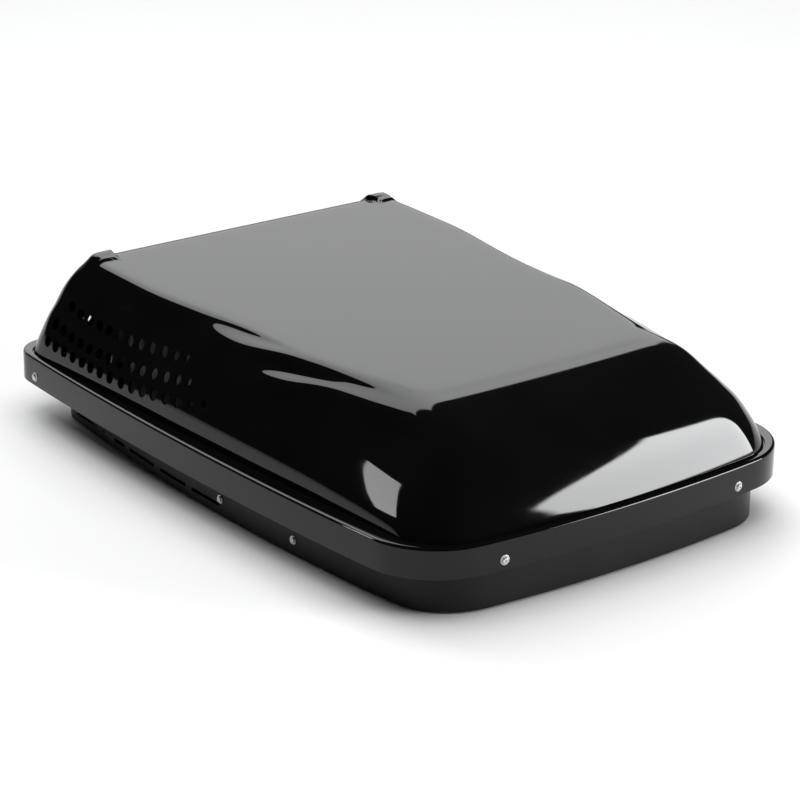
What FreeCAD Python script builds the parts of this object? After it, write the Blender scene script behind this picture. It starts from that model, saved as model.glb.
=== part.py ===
import FreeCAD, Part
import math
import os

# Low-profile rooftop air conditioner: moulded shroud on a steel base pan,
# with the refrigeration set, fan motor and blower it encloses.
# X = width, Y = length (nose at -Y), Z = up, origin at the bottom centre.

os.makedirs("parts", exist_ok=True)
doc = FreeCAD.newDocument("rooftop_ac")
V = FreeCAD.Vector

# ----------------------------------------------------------------- sizes (mm)
CELLS = [
    ("unit_length", 1000), ("unit_width", 705), ("skirt_low", 59.6), ("skirt_top", 103),
    ("skirt_front_rad", 97), ("skirt_rear_rad", 50), ("side_bow", 19.5), ("front_bow", 26), ("rear_bow", 2.4),
    ("shell_wall", 3), ("edge_round", 5), ("groove_width", 3), ("top_mid", 250), ("top_slope", 0.024),
    ("vent_rad", 8.4), ("vent_rad_small", 6.8), ("vent_rad_tiny", 5.2), ("horn_height", 266),
    ("pan_width", 635.5), ("pan_length", 932), ("pan_shift", -19), ("pan_front_rad", 81), ("pan_rear_rad", 47),
    ("pan_side_bow", 31), ("pan_front_bow", 23), ("pan_taper", 0.021),
    ("pan_under", 3), ("sheet", 2), ("flange_level", 64), ("lip_top", 94), ("lip_inset", 5),
    ("recess_half", 216), ("recess_level", 14), ("roof_centre", -150), ("roof_opening", 362),
    ("gasket_outer", 420), ("gasket_thick", 14), ("insert_spacing", 336), ("insert_rad", 3.4), ("insert_outer", 8),
    ("return_half", 150), ("return_front", -324), ("return_rear", -196),
    ("screw_level", 73.3), ("front_screw_x", 204.7), ("side_screw_y", 426), ("washer_rad", 7), ("head_rad", 4.6), ("shank_rad", 2.4),
    ("hex_rad", 4.6), ("slot_len", 70), ("slot_high", 5), ("slot_level", 13.5), ("slot_pitch", 85.5), ("slot_first", 359),
    ("axis_level", 122), ("shaft_rad", 6), ("shaft_front", -60), ("shaft_rear", 322), ("run_gap", 0.05),
    ("wheel_rad", 60), ("wheel_in", 48), ("wheel_front", -98), ("wheel_rear", -16),
    ("scroll_start", 65), ("scroll_end", 88), ("scroll_front", -104), ("scroll_rear", -9), ("scroll_wall", 2),
    ("motor_rad", 52), ("motor_front", 80), ("motor_rear", 170), ("bell_len", 8), ("bearing_rad", 11),
    ("stator_in", 27), ("rotor_rad", 26.5),
    ("fan_rad", 90), ("fan_hub", 16), ("fan_front", 289), ("fan_rear", 313), ("venturi_rad", 95), ("plate_y", 284),
    ("bulkhead_y", 46), ("coil_tube", 4.75), ("coil_pitch", 22), ("coil_x", 267), ("coil_low", 30), ("coil_front", 72), ("coil_rear", 262),
    ("fin_gap", 3.5), ("fin_thick", 0.8), ("evap_half", 150), ("evap_front", -188), ("evap_rear", -142), ("evap_low", 40),
    ("cover_half", 188), ("cover_front", -346), ("cover_rear", 44), ("cover_top", 214), ("cover_wall", 3),
    ("comp_x", 158), ("comp_level", 78), ("comp_rad", 52), ("comp_front", 86), ("comp_rear", 240),
    ("box_left", -232), ("box_right", -92), ("box_front", 100), ("box_rear", 232), ("box_height", 90), ("box_wall", 1.5),
    ("cap_rad", 22), ("cap_len", 86), ("pad_thick", 3),
]
sheet = doc.addObject("Spreadsheet::Sheet", "dims")
for i, (name, value) in enumerate(CELLS):
    sheet.set("A%d" % (i + 1), name)
    sheet.set("B%d" % (i + 1), repr(value))
    sheet.setAlias("B%d" % (i + 1), name)
doc.recompute()


class Dims(object):
    def __getattr__(self, k):
        return float(sheet.get(k))


D = Dims()
PARTS = []


# -------------------------------------------------------------- small helpers
def expr(o, prop, val):
    if isinstance(val, str):
        txt = val
        for n, _ in sorted(CELLS, key=lambda c: -len(c[0])):
            txt = swap(txt, n)
        o.setExpression(prop, txt)
    else:
        root = prop.split(".")
        if len(root) == 1:
            setattr(o, prop, val)
        else:
            pl = o.Placement
            setattr(pl.Base, root[-1], val)
            o.Placement = pl


def swap(txt, n):
    out = ""
    i = 0
    while i < len(txt):
        if txt.startswith(n, i):
            before = txt[i - 1] if i else " "
            after = txt[i + len(n)] if i + len(n) < len(txt) else " "
            if not (before.isalnum() or before in "_.") and not (after.isalnum() or after == "_"):
                out += "dims." + n
                i += len(n)
                continue
        out += txt[i]
        i += 1
    return out


def place(o, x, y, z, rot=None):
    if rot is not None:
        o.Placement = FreeCAD.Placement(V(0, 0, 0), rot)
    for k, val in (("x", x), ("y", y), ("z", z)):
        expr(o, "Placement.Base." + k, val)
    return o


def box(name, lx, ly, lz, x, y, z):
    o = doc.addObject("Part::Box", name)
    expr(o, "Length", lx)
    expr(o, "Width", ly)
    expr(o, "Height", lz)
    return place(o, x, y, z)


ROT_Y = FreeCAD.Rotation(V(1, 0, 0), -90)
ROT_X = FreeCAD.Rotation(V(0, 1, 0), 90)


def cyl(name, r, length, x, y, z, axis="z"):
    o = doc.addObject("Part::Cylinder", name)
    expr(o, "Radius", r)
    expr(o, "Height", length)
    return place(o, x, y, z, {"z": FreeCAD.Rotation(), "y": ROT_Y, "x": ROT_X}[axis])


def cut(name, a, b):
    o = doc.addObject("Part::Cut", name)
    o.Base = a
    o.Tool = b
    return o


def fuse(name, items):
    o = doc.addObject("Part::MultiFuse", name)
    o.Shapes = items
    return o


def group(name, items):
    o = doc.addObject("Part::Compound", name)
    o.Links = items
    return o


def keep(o, label):
    o.Label = label
    PARTS.append(o)
    return o


def feature(label, shape):
    o = doc.addObject("Part::Feature", "f_" + label)
    o.Shape = shape
    o.Placement = FreeCAD.Placement(V(0, 0, 0), FreeCAD.Rotation())
    return keep(o, label)


def lerp(table, y):
    ys = [p[0] for p in table]
    vs = [p[1] for p in table]
    n = len(ys)

    def slope(i):
        if i == n - 1:
            return (vs[-1] - vs[-2]) / (ys[-1] - ys[-2])
        if i <= 0:
            return 0.0 if n > 2 else (vs[-1] - vs[0]) / (ys[-1] - ys[0])
        a = (vs[i] - vs[i - 1]) / (ys[i] - ys[i - 1])
        b = (vs[i + 1] - vs[i]) / (ys[i + 1] - ys[i])
        if a * b <= 0:
            return 0.0
        return 2 * a * b / (a + b)

    if y >= ys[0]:
        return vs[0]
    if y <= ys[-1]:
        d = y - ys[-1]
        return vs[-1] + (slope(n - 1) * d - 0.0008 * d * d * max(0.0, min(1.0, (slope(n - 1) - 0.05) / 0.1)) if n > 2 else 0.0)
    k = 0
    while y < ys[k + 1]:
        k += 1
    w = ys[k + 1] - ys[k]
    t = (y - ys[k]) / w
    t2, t3 = t * t, t * t * t
    return ((2 * t3 - 3 * t2 + 1) * vs[k] + (t3 - 2 * t2 + t) * w * slope(k)
            + (-2 * t3 + 3 * t2) * vs[k + 1] + (t3 - t2) * w * slope(k + 1))


# ------------------------------------------------- closed rings round the unit
# Each ring is one closed row of control points with the same count:
# rear centre, rear corner, side, front corner, front centre, then mirrored.
N_REAR, N_RC, N_SIDE, N_FC, N_FRONT = 7, 6, 16, 8, 7


def half_ring(side_x, rear, front, rr, rf):
    """left half in plan from the rear centre to the front centre"""
    pts = []
    yr = rear - rr
    yf = front + rf
    xr = side_x(yr) - rr
    for i in range(N_REAR):
        pts.append((-xr * i / N_REAR, rear, "r", 0.0))
    for i in range(N_RC):
        a = math.pi / 2 * i / N_RC
        pts.append((-(xr + rr * math.sin(a)), yr + rr * math.cos(a), "rc", i / N_RC))
    for i in range(N_SIDE):
        y = yr + (yf - yr) * i / N_SIDE
        pts.append((-side_x(y), y, "s", 0.0))
    xf = side_x(yf) - rf
    for i in range(N_FC):
        a = math.pi / 2 * i / N_FC
        pts.append((-(xf + rf * math.cos(a)), yf - rf * math.sin(a), "fc", i / N_FC))
    for i in range(N_FRONT + 1):
        pts.append((-xf * (1 - i / N_FRONT), front, "f", 0.0))
    return pts


def mirror(left):
    right = [V(-p.x, p.y, p.z) for p in left[1:-1]]
    return left + right[::-1]


def bow(x, y):
    """plan bow of the nose and tail"""
    b = D.front_bow if y < 0 else D.rear_bow
    k = 1 - (b / (D.unit_length / 2)) * (x / (D.unit_width / 2)) ** 2
    # fades in toward the ends so that the sides keep their stations
    f = min(1.0, max(0.0, (abs(y) - 180.0) / 260.0))
    return y * (1 - (1 - k) * f)


def band_ring(inset, z):
    """skirt outline, moved in by inset, at height z"""
    hw = D.unit_width / 2 - inset
    hl = D.unit_length / 2

    def sx(y):
        return hw - D.side_bow * (y / hl) ** 2
    left = half_ring(sx, hl - inset, -hl + inset, D.skirt_rear_rad - inset, D.skirt_front_rad - inset)
    return mirror([V(x, bow(x, y), z) for x, y, k, t in left])


# Rows of the dome from its foot to the flat of the top.
# side: (y, half width, height); rear and front: (y, height); corner radii.
SY = [400, 300, 200, 100, 0, -100, -200, -300]
ROWS = [
    # half widths, heights, rear (y, z), front (y, z), rear radius, front radius
    ([328, 328, 328, 328, 327, 325, 321, 317], [103] * 8, (478, 103), (-486, 103), 44, 70),
    ([327, 327, 327, 326.5, 325.5, 323, 318.5, 313.5], [117, 117, 117, 118, 119, 120, 121, 122], (475, 118), (-479.5, 124), 48, 73),
    ([323, 323, 323, 321.5, 318.5, 315, 309.5, 303], [132, 131, 131, 135, 140, 143, 145, 146], (470, 134), (-471.5, 146), 49, 77),
    ([318, 318, 318, 316, 311.5, 306.5, 299.5, 291], [146, 142, 141, 149, 158, 163, 166, 167], (464.5, 148), (-461, 166), 46, 74),
    ([311.5, 312, 312, 310.5, 306, 299.5, 290.5, 279.5], [160, 154, 152, 162, 171, 176, 179, 180], (457, 161), (-450, 183), 38, 72),
    ([303.5, 304, 304.2, 304, 302, 293.5, 281.5, 269.5], [177, 169, 168, 175, 182, 187, 191, 191], (447, 177), (-437, 197), 32, 67),
    ([299, 299.4, 299.5, 299, 297, 288.5, 274, 260], [191, 183, 182, 188, 193, 200, 202, 201], (442, 191), (-421, 209), 32, 60),
    ([294.6, 294.8, 294.8, 293.8, 291, 281, 266, 251], [205, 198, 197, 200, 204, 215.5, 215, 212], (436, 205), (-402, 219), 32, 53),
    ([290, 290, 290, 287.5, 285, 270, 257, 241.5], [219, 213, 212, 213, 214.5, 219.5, 227, 223], (424, 220), (-382, 227), 28, 47),
    ([285, 285.7, 285.7, 280, 278, 260, 247, 230.5], [233, 228, 227.5, 225.5, 226, 224, 230.5, 229.5], (410, 234), (-362, 233), 24, 43),
    ([280, 281.5, 281, 274, 270.5, 255, 239, 220.5], [245, 240.5, 240, 234.5, 235.5, 241, 234.5, 234], (396, 247), (-344, 237), 20, 40),
    ([276.5, 278.8, 277.8, 268.5, 260, 249, 235, 214.5], [250.5, 246.5, 245.5, 240.5, 239.5, 244.5, 238.5, 236.5], (389, 252), (-335.5, 238.4), 19, 39),
    ([272, 275.5, 274, 263, 250, 244, 230, 209], [255, 251, 249.5, 245.5, 243, 246, 241.5, 238.5], (381, 255.5), (-327, 239.8), 18, 38),
    ([265, 270.5, 268.5, 256, 246.5, 239, 224, 200], [258.5, 255, 253, 250.3, 247.5, 247, 243.8, 241], (373, 257.5), (-318.5, 241.5), 17, 38),
    ([256, 262.5, 260.5, 248, 240, 232, 215, 192], None, (364, None), (-310, None), 16, 38),
    ([236, 242, 239, 226, 220, 211, 195, 172], None, (340, None), (-290, None), 14, 36),
]


def plane_z(y):
    return D.top_mid + D.top_slope * y


def row_height(row, y, kind, t):
    hs, rear, front = row[1], row[2], row[3]
    if hs is None:
        return plane_z(y)
    tab = list(zip(SY, hs))
    if kind == "r":
        return rear[1]
    if kind == "f":
        return front[1]
    z = lerp(tab, y)
    if kind == "rc":
        w = 0.5 + 0.5 * math.cos(math.pi * t)
        return rear[1] * w + hs[0] * (1 - w)
    if kind == "fc":
        w = 0.5 - 0.5 * math.cos(math.pi * t)
        return front[1] * w + hs[-1] * (1 - w)
    return z


def dome_ring(j, grow=0.0):
    row = ROWS[j]
    tab = list(zip(SY, row[0]))

    def sx(y):
        return lerp(tab, y) + grow
    left = half_ring(sx, row[2][0] + grow, row[3][0] - grow, row[4] + grow, row[5] + grow)
    out = []
    for x, y, kind, t in left:
        yb = bow(x, y)
        z = row_height(row, yb, kind, t)
        out.append(V(x, yb, z))
    return mirror(out)


def flat_ring(ring, z):
    return [V(p.x, p.y, z) for p in ring]


def skin(rings, degree):
    """periodic round the unit, clamped from the first ring to the last"""
    n = len(rings[0])
    m = len(rings)
    s = Part.BSplineSurface()
    poles = [[rings[j][i] for j in range(m)] for i in range(n)]
    degree = min(degree, m - 1)
    uk = list(range(n + 1))
    um = [1] * (n + 1)
    inner = m - degree - 1
    vk = list(range(inner + 2))
    vm = [degree + 1] + [1] * inner + [degree + 1]
    s.buildFromPolesMultsKnots(poles, um, vm, uk, vk, True, False, 3, degree)
    return s.toShape()


def ring_edge(ring):
    n = len(ring)
    c = Part.BSplineCurve()
    c.buildFromPolesMultsKnots(ring, [1] * (n + 1), list(range(n + 1)), True, 3)
    return c.toShape()


def ring_wire(ring):
    return Part.Wire([ring_edge(ring)])


def normals(grid):
    m, n = len(grid), len(grid[0])
    out = []
    for j in range(m):
        row = []
        for i in range(n):
            du = grid[j][(i + 1) % n] - grid[j][(i - 1) % n]
            a, b = max(0, j - 1), min(m - 1, j + 1)
            dv = grid[b][i] - grid[a][i]
            nn = dv.cross(du)
            nn.normalize()
            row.append(nn)
        out.append(row)
    return out


def to_solid(faces):
    sh = Part.makeShell(faces)
    sh.sewShape()
    if sh.ShapeType != "Shell":
        sh = sh.Shells[0]
    sol = Part.makeSolid(sh)
    if sol.Volume < 0:
        sol.reverse()
    return sol


# ------------------------------------------------------------------ the shroud
grid = [dome_ring(j) for j in range(len(ROWS))]
nrm = normals(grid)
if nrm[5][20].x > 0:
    nrm = [[V(-q.x, -q.y, -q.z) for q in r] for r in nrm]
top_n = V(0, -D.top_slope, 1)
top_n.normalize()
wall = D.shell_wall
inner_grid = []
for j, r in enumerate(grid):
    if j >= len(grid) - 2:
        inner_grid.append([p - top_n * wall for p in r])
    else:
        inner_grid.append([p - nrm[j][i] * wall for i, p in enumerate(r)])

zt = D.skirt_top
foot = grid[0]
in_foot = [V(p.x, p.y, zt - wall - 0.2) for p in dome_ring(0, -wall)]
inner_grid[0] = [V(p.x, p.y, zt) for p in dome_ring(0, -wall)]
outer_profile = [
    (skin([band_ring(0, D.skirt_low), band_ring(0, zt - D.edge_round)], 1)),
    (skin([band_ring(0, zt - D.edge_round), band_ring(0, zt - 0.4), band_ring(D.edge_round, zt)], 2)),
    (skin([band_ring(D.edge_round, zt), flat_ring(dome_ring(0, D.groove_width), zt)], 1)),
    (skin([flat_ring(dome_ring(0, D.groove_width), zt), flat_ring(dome_ring(0, D.groove_width - 0.7), zt - 3)], 1)),
    (skin([flat_ring(dome_ring(0, D.groove_width - 0.7), zt - 3), flat_ring(dome_ring(0, 0.7), zt - 3)], 1)),
    (skin([flat_ring(dome_ring(0, 0.7), zt - 3), foot], 1)),
    (skin(grid, 3)),
    Part.Face(ring_wire(grid[-1])),
]
g5 = flat_ring(dome_ring(0, D.groove_width + 2.4), zt - wall)
g4 = flat_ring(dome_ring(0, D.groove_width + 1.4), zt - wall - 3)
g3 = flat_ring(dome_ring(0, -wall + 0.6), zt - wall - 3)
inner_profile = [
    skin([band_ring(wall, D.skirt_low), band_ring(wall, zt - wall)], 1),
    skin([band_ring(wall, zt - wall), g5], 1),
    skin([g5, g4], 1),
    skin([g4, g3], 1),
    skin([g3, inner_grid[0]], 1),
    skin(inner_grid, 3),
    Part.Face(ring_wire(inner_grid[-1])),
]
rim = skin([band_ring(0, D.skirt_low), band_ring(wall, D.skirt_low)], 1)
shell = to_solid(outer_profile + inner_profile + [rim])
print("shroud shell", shell.isValid(), round(shell.Volume))

dome_surface = outer_profile[6].Faces[0].Surface
DU = len(grid[0])
DV = len(grid) - 3


def dome_at(u, v):
    p = dome_surface.value(u, v)
    du = dome_surface.value(u + 0.02, v) - dome_surface.value(u - 0.02, v)
    dv = dome_surface.value(u, min(v + 0.02, DV)) - dome_surface.value(u, max(v - 0.02, 0))
    n = du.cross(dv)
    n.normalize()
    c = V(p.x, p.y - 60, 0)
    if n.x * c.x + n.y * c.y < 0:
        n = V(-n.x, -n.y, -n.z)
    return p, n


def find_side(y, z):
    """parameter of the point of the left side at (y, z)"""
    best = None
    for a in range(9, 40):
        for b in range(0, 24):
            u, v = float(a), b * 0.4
            p = dome_surface.value(u, v)
            e = (p.y - y) ** 2 + (p.z - z) ** 2
            if best is None or e < best[0]:
                best = (e, u, v)
    e, u, v = best
    step = 0.5
    while step > 0.004:
        moved = False
        for du, dv in ((step, 0), (-step, 0), (0, step), (0, -step)):
            p = dome_surface.value(u + du, min(max(v + dv, 0), DV))
            ee = (p.y - y) ** 2 + (p.z - z) ** 2
            if ee < e:
                e, u, v, moved = ee, u + du, min(max(v + dv, 0), DV), True
        if not moved:
            step /= 2
    return u, v


def find_rear(x, z):
    best = None
    for b in range(0, 120):
        v = b * 0.08
        for a in range(0, 60):
            u = a * 0.15
            p = dome_surface.value(u, v)
            e = (p.x + abs(x)) ** 2 + (p.z - z) ** 2
            if best is None or e < best[0]:
                best = (e, u, v)
    return best[1], best[2]


# rows of round outlets on each flank, front end of each row tapering off
VENT_SIDE = [
    [(381, 188), (355, 183), (330, 181), (305, 180), (280, 179), (254, 179), (226, 180), (199, 182), (171, 185), (141, 188), (113, 191), (88, 194)],
    [(406, 156), (383, 153), (359, 149), (335, 147), (310, 146), (284, 146), (258, 146), (231, 148), (204, 149), (177, 152), (148, 156), (119, 160), (91, 164), (66, 168)],
    [(412, 130), (390, 128), (366, 127), (342, 126), (317, 125), (294, 124), (269, 124), (243, 124), (214, 125), (187, 126), (161, 128), (134, 131), (105, 134), (77, 137), (48, 142), (21, 151)],
]
tools = []
for r, row in enumerate(VENT_SIDE):
    for i, (y, z) in enumerate(row):
        u, v = find_side(y, z)
        p, n = dome_at(u, v)
        rad = D.vent_rad
        if i == len(row) - 2:
            rad = D.vent_rad_small
        if i == len(row) - 1:
            rad = D.vent_rad_tiny
        for s in (1, -1):
            q = V(p.x * s, p.y, p.z)
            m = V(n.x * s, n.y, n.z)
            tools.append(Part.makeCylinder(rad, 22, q - m * 13, m))
rear_rows = [(177, 15, 128), (177, 16, 154), (177, 15, 187)]
for k, (span, count, z) in enumerate([(247, 20, 128), (236, 19, 156), (221, 18, 188)]):
    for i in range(count):
        x = -span + 2 * span * i / (count - 1.0)
        u, v = find_rear(x, z)
        p, n = dome_at(u, v)
        s = 1 if x <= 0 else -1
        q = V(x, p.y, p.z)
        m = V(n.x * s, n.y, n.z)
        tools.append(Part.makeCylinder(D.vent_rad, 22, q - m * 13, m))


# small raised caps at the two rear corners of the top
def horn(s):
    b = Part.makeBox(46, 24, 16)
    b = b.makeFillet(7.9, [e for e in b.Edges if abs(e.Vertexes[0].Z - e.Vertexes[1].Z) > 1])
    b = b.makeFillet(6.0, [e for e in b.Edges if e.BoundBox.ZMin > 15.9])
    b.translate(V(-23, -12, 0))
    b.rotate(V(0, 0, 0), V(0, 0, 1), s * 24)
    b.rotate(V(0, 0, 0), V(0, 1, 0), s * 3)
    b.translate(V(s * 250, 352, D.horn_height - 16.6))
    return b


def band_point(coord, where):
    """point and outward normal on the skirt face: where = 'front', 'side'"""
    c = ring_edge(band_ring(0, D.screw_level))
    a, b = c.ParameterRange
    best = None
    for i in range(4001):
        t = a + (b - a) * i / 4000.0
        p = c.valueAt(t)
        if p.x > 0:
            continue
        if where == "front" and p.y > -380:
            continue
        if where == "side" and abs(p.y) > 440:
            continue
        e = abs(-p.x - coord) if where == "front" else abs(p.y - coord)
        if best is None or e < best[0]:
            best = (e, t)
    t = best[1]
    p = c.valueAt(t)
    tg = c.tangentAt(t)
    n = tg.cross(V(0, 0, 1))
    n.normalize()
    if n.x * p.x + n.y * p.y < 0:
        n = V(-n.x, -n.y, 0)
    return V(p.x, p.y, D.screw_level), V(n.x, n.y, 0)


SCREWS = []
for coord, where in ((D.front_screw_x, "front"), (D.side_screw_y, "side")):
    p, n = band_point(coord, where)
    SCREWS.append((p, n))
    SCREWS.append((V(-p.x, p.y, p.z), V(-n.x, n.y, n.z)))

for p, n in SCREWS:
    tools.append(Part.makeCylinder(3.3, 12, p - n * 6, n))
shell = shell.fuse([horn(1), horn(-1)])
shroud_shape = shell.cut(Part.makeCompound(tools))
if shroud_shape.ShapeType == "Compound" and len(shroud_shape.Solids) == 1:
    shroud_shape = shroud_shape.Solids[0]
feature("shroud", shroud_shape)
print("shroud", shroud_shape.isValid(), round(shroud_shape.Volume), len(shroud_shape.Faces), len(shroud_shape.Solids))


# ---------------------------------------------------------------- the base pan
def pan_ring(inset, z):
    hw = D.pan_width / 2
    hl = D.pan_length / 2

    def sx(y):
        yy = y - D.pan_shift
        return (hw - D.pan_side_bow * (yy / hl) ** 2) * (1 - D.pan_taper * yy / hl) - inset
    left = half_ring(sx, D.pan_shift + hl - inset, D.pan_shift - hl + inset, D.pan_rear_rad - inset, D.pan_front_rad - inset)
    out = []
    for x, y, k, t in left:
        yy = y
        if y < 0:
            f = min(1.0, max(0.0, (abs(y) - 180.0) / 260.0))
            yy = y * (1 - f * (D.pan_front_bow / hl) * (x / hw) ** 2)
        out.append(V(x, yy, z))
    return mirror(out)


def prism(ring, height):
    return Part.Face(ring_wire(ring)).extrude(V(0, 0, height))


u0 = D.pan_under
sh = D.sheet
fl = D.flange_level
rc = D.roof_centre
rh = D.recess_half
pr0, pr1 = pan_ring(0, u0), pan_ring(0, fl)
br0, br1 = band_ring(D.lip_inset, fl), band_ring(D.lip_inset, D.lip_top)
bi1, bi0 = band_ring(D.lip_inset + sh, D.lip_top), band_ring(D.lip_inset + sh, fl + sh)
pi1, pi0 = pan_ring(sh, fl + sh), pan_ring(sh, u0 + sh)
pan = to_solid([
    Part.Face(ring_wire(pr0)), skin([pr0, pr1], 1), skin([pr1, br0], 1), skin([br0, br1], 1), skin([br1, bi1], 1),
    skin([bi1, bi0], 1), skin([bi0, pi1], 1), skin([pi1, pi0], 1), Part.Face(ring_wire(pi0)),
])
print("pan shell", pan.isValid(), round(pan.Volume))
plateau = Part.makeBox(2 * rh, 2 * rh, D.recess_level + sh - u0, V(-rh, rc - rh, u0))
pan = pan.fuse(plateau)
pan = pan.cut(Part.makeBox(2 * rh - 2 * sh, 2 * rh - 2 * sh, D.recess_level - u0 + 1, V(-rh + sh, rc - rh + sh, u0 - 1)))
cuts = [
    Part.makeBox(2 * D.return_half, D.return_rear - D.return_front, 30, V(-D.return_half, D.return_front, 4)),
    Part.makeBox(D.scroll_end - 17, D.scroll_rear - D.scroll_front - 2 * D.scroll_wall, 30, V(-D.scroll_end, D.scroll_front + D.scroll_wall, 4)),
]
isp = D.insert_spacing / 2
for sx_ in (-1, 1):
    for sy_ in (-1, 1):
        cuts.append(Part.makeCylinder(4.5, 20, V(sx_ * isp, rc + sy_ * isp, 5)))
for p, n in SCREWS:
    cuts.append(Part.makeCylinder(3.0, 20, p - n * 14, n))


def pan_x(y, z):
    c = ring_edge(pan_ring(0, z))
    a, b = c.ParameterRange
    best = None
    for i in range(3001):
        t = a + (b - a) * i / 3000.0
        p = c.valueAt(t)
        if p.x > -150:
            continue
        e = abs(p.y - y)
        if best is None or e < best[0]:
            best = (e, t)
    t = best[1]
    p = c.valueAt(t)
    tg = c.tangentAt(t)
    n = tg.cross(V(0, 0, 1))
    n.normalize()
    if n.x > 0:
        n = V(-n.x, -n.y, 0)
    return V(p.x, p.y, z), V(n.x, n.y, 0)


for k in range(5):
    yc = D.slot_first - k * D.slot_pitch
    p, n = pan_x(yc, D.slot_level + D.slot_high / 2)
    ang = math.degrees(math.atan2(n.y, -n.x))
    for s in (1, -1):
        b = Part.makeBox(16, D.slot_len - D.slot_high, D.slot_high, V(-8, -(D.slot_len - D.slot_high) / 2, -D.slot_high / 2))
        for e in (-1, 1):
            b = b.fuse(Part.makeCylinder(D.slot_high / 2, 16, V(-8, e * (D.slot_len - D.slot_high) / 2, 0), V(1, 0, 0)))
        b.rotate(V(0, 0, 0), V(0, 0, 1), -s * ang)
        b.translate(V(s * p.x, p.y, p.z))
        cuts.append(b)
HEX = []
for y, z in ((-22, 25.4), (-189, 22.8)):
    p, n = pan_x(y, z)
    HEX.append((p, n))
    HEX.append((V(-p.x, p.y, p.z), V(-n.x, n.y, n.z)))
for p, n in HEX:
    cuts.append(Part.makeCylinder(2.2, 12, p - n * 6, n))
pan = pan.cut(Part.makeCompound(cuts))
if pan.ShapeType == "Compound" and len(pan.Solids) == 1:
    pan = pan.Solids[0]
feature("base_pan", pan)
print("pan", pan.isValid(), round(pan.Volume), len(pan.Solids))


# ------------------------------------------------------- fasteners of the skirt
def along(p, n, profile):
    """solid of revolution about n through p; profile is (distance, radius)"""
    ax = n
    side = V(0, 0, 1)
    pts = [p + ax * d + side * r for d, r in profile]
    w = Part.makePolygon([p + ax * profile[0][0]] + pts + [p + ax * profile[-1][0], p + ax * profile[0][0]])
    return Part.Face(w).revolve(p, ax, 360)


scr, was, clp = [], [], []
for p, n in SCREWS:
    s = along(p, n, [(-17, 1.0), (-15, D.shank_rad), (1.2, D.shank_rad), (1.2, D.head_rad), (2.6, D.head_rad), (3.4, D.head_rad - 1.0), (3.7, 1.6), (2.4, 1.2)])
    scr.append(s)
    w = along(p, n, [(0, D.shank_rad + 0.4), (0, D.washer_rad), (0.6, D.washer_rad), (1.2, D.washer_rad - 1.2), (1.2, D.shank_rad + 0.4)])
    w = w.cut(Part.makeCylinder(D.shank_rad + 0.4, 6, p - n * 2, n))
    was.append(w)
    tgt = n.cross(V(0, 0, 1))
    i0 = D.lip_inset

    def slab(d0, d1, z0, z1, half):
        c = p + n * d0 - tgt * half
        q = [V(c.x, c.y, z0), V(c.x + tgt.x * 2 * half, c.y + tgt.y * 2 * half, z0)]
        dd = n * (d1 - d0)
        f = Part.Face(Part.makePolygon([q[0], q[1], q[1] + dd, q[0] + dd, q[0]]))
        return f.extrude(V(0, 0, z1 - z0))
    z0 = D.screw_level - 6
    c = slab(-i0 + 0.4, -i0 + 1.4, z0, D.lip_top + 1.2, 7)
    c = c.fuse(slab(-i0 - sh - 1.4, -i0 - sh - 0.4, z0, D.lip_top + 1.2, 7))
    c = c.fuse(slab(-i0 - sh - 1.4, -i0 + 1.4, D.lip_top + 0.2, D.lip_top + 1.2, 7))
    c = c.fuse(Part.makeCylinder(4.2, 5, p - n * (i0 + sh + 6.4), n))
    c = c.cut(Part.makeCylinder(D.shank_rad + 0.1, 24, p - n * 18, n))
    clp.append(c)
feature("shroud_screws", Part.makeCompound(scr))
feature("shroud_washers", Part.makeCompound(was))
feature("clip_nuts", Part.makeCompound(clp))

hx, wn = [], []
for p, n in HEX:
    hexa = Part.makePolygon([V(D.hex_rad * math.cos(math.radians(60 * i)), D.hex_rad * math.sin(math.radians(60 * i)), 0) for i in range(7)])
    head = Part.Face(hexa).extrude(V(0, 0, 3))
    head = head.fuse(Part.makeCylinder(6.2, 0.8))
    head = head.fuse(Part.makeCylinder(1.9, 12, V(0, 0, -12)))
    head.Placement = FreeCAD.Placement(p + n * 0.02, FreeCAD.Rotation(V(0, 0, 1), n))
    hx.append(head)
    nut = Part.Face(Part.makePolygon([V(4.6 * math.cos(math.radians(60 * i)), 4.6 * math.sin(math.radians(60 * i)), 0) for i in range(7)])).extrude(V(0, 0, 3.5))
    nut = nut.cut(Part.makeCylinder(1.95, 6, V(0, 0, -1)))
    nut.Placement = FreeCAD.Placement(p - n * (sh + 3.62), FreeCAD.Rotation(V(0, 0, 1), n))
    wn.append(nut)
feature("pan_screws", Part.makeCompound(hx))
feature("weld_nuts", Part.makeCompound(wn))


# -------------------------------------------------- roof gasket (PartDesign)
def origin_plane(body, role):
    for f in body.Origin.OriginFeatures:
        if f.Role == role:
            return f


def rect(sk, hx_, hy_, cy=0.0):
    pts = [V(-hx_, cy - hy_, 0), V(hx_, cy - hy_, 0), V(hx_, cy + hy_, 0), V(-hx_, cy + hy_, 0)]
    for i in range(4):
        sk.addGeometry(Part.LineSegment(pts[i], pts[(i + 1) % 4]))


body = doc.addObject("PartDesign::Body", "gasket_body")
sk = body.newObject("Sketcher::SketchObject", "gasket_outline")
sk.AttachmentSupport = [(origin_plane(body, "XY_Plane"), "")]
sk.MapMode = "FlatFace"
rect(sk, D.gasket_outer / 2, D.gasket_outer / 2)
rect(sk, D.roof_opening / 2, D.roof_opening / 2)
doc.recompute()
pad = body.newObject("PartDesign::Pad", "gasket_pad")
pad.Profile = sk
expr(pad, "Length", "gasket_thick")
body.Tip = pad
expr(body, "Placement.Base.y", "roof_centre")
keep(body, "roof_gasket")

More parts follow.
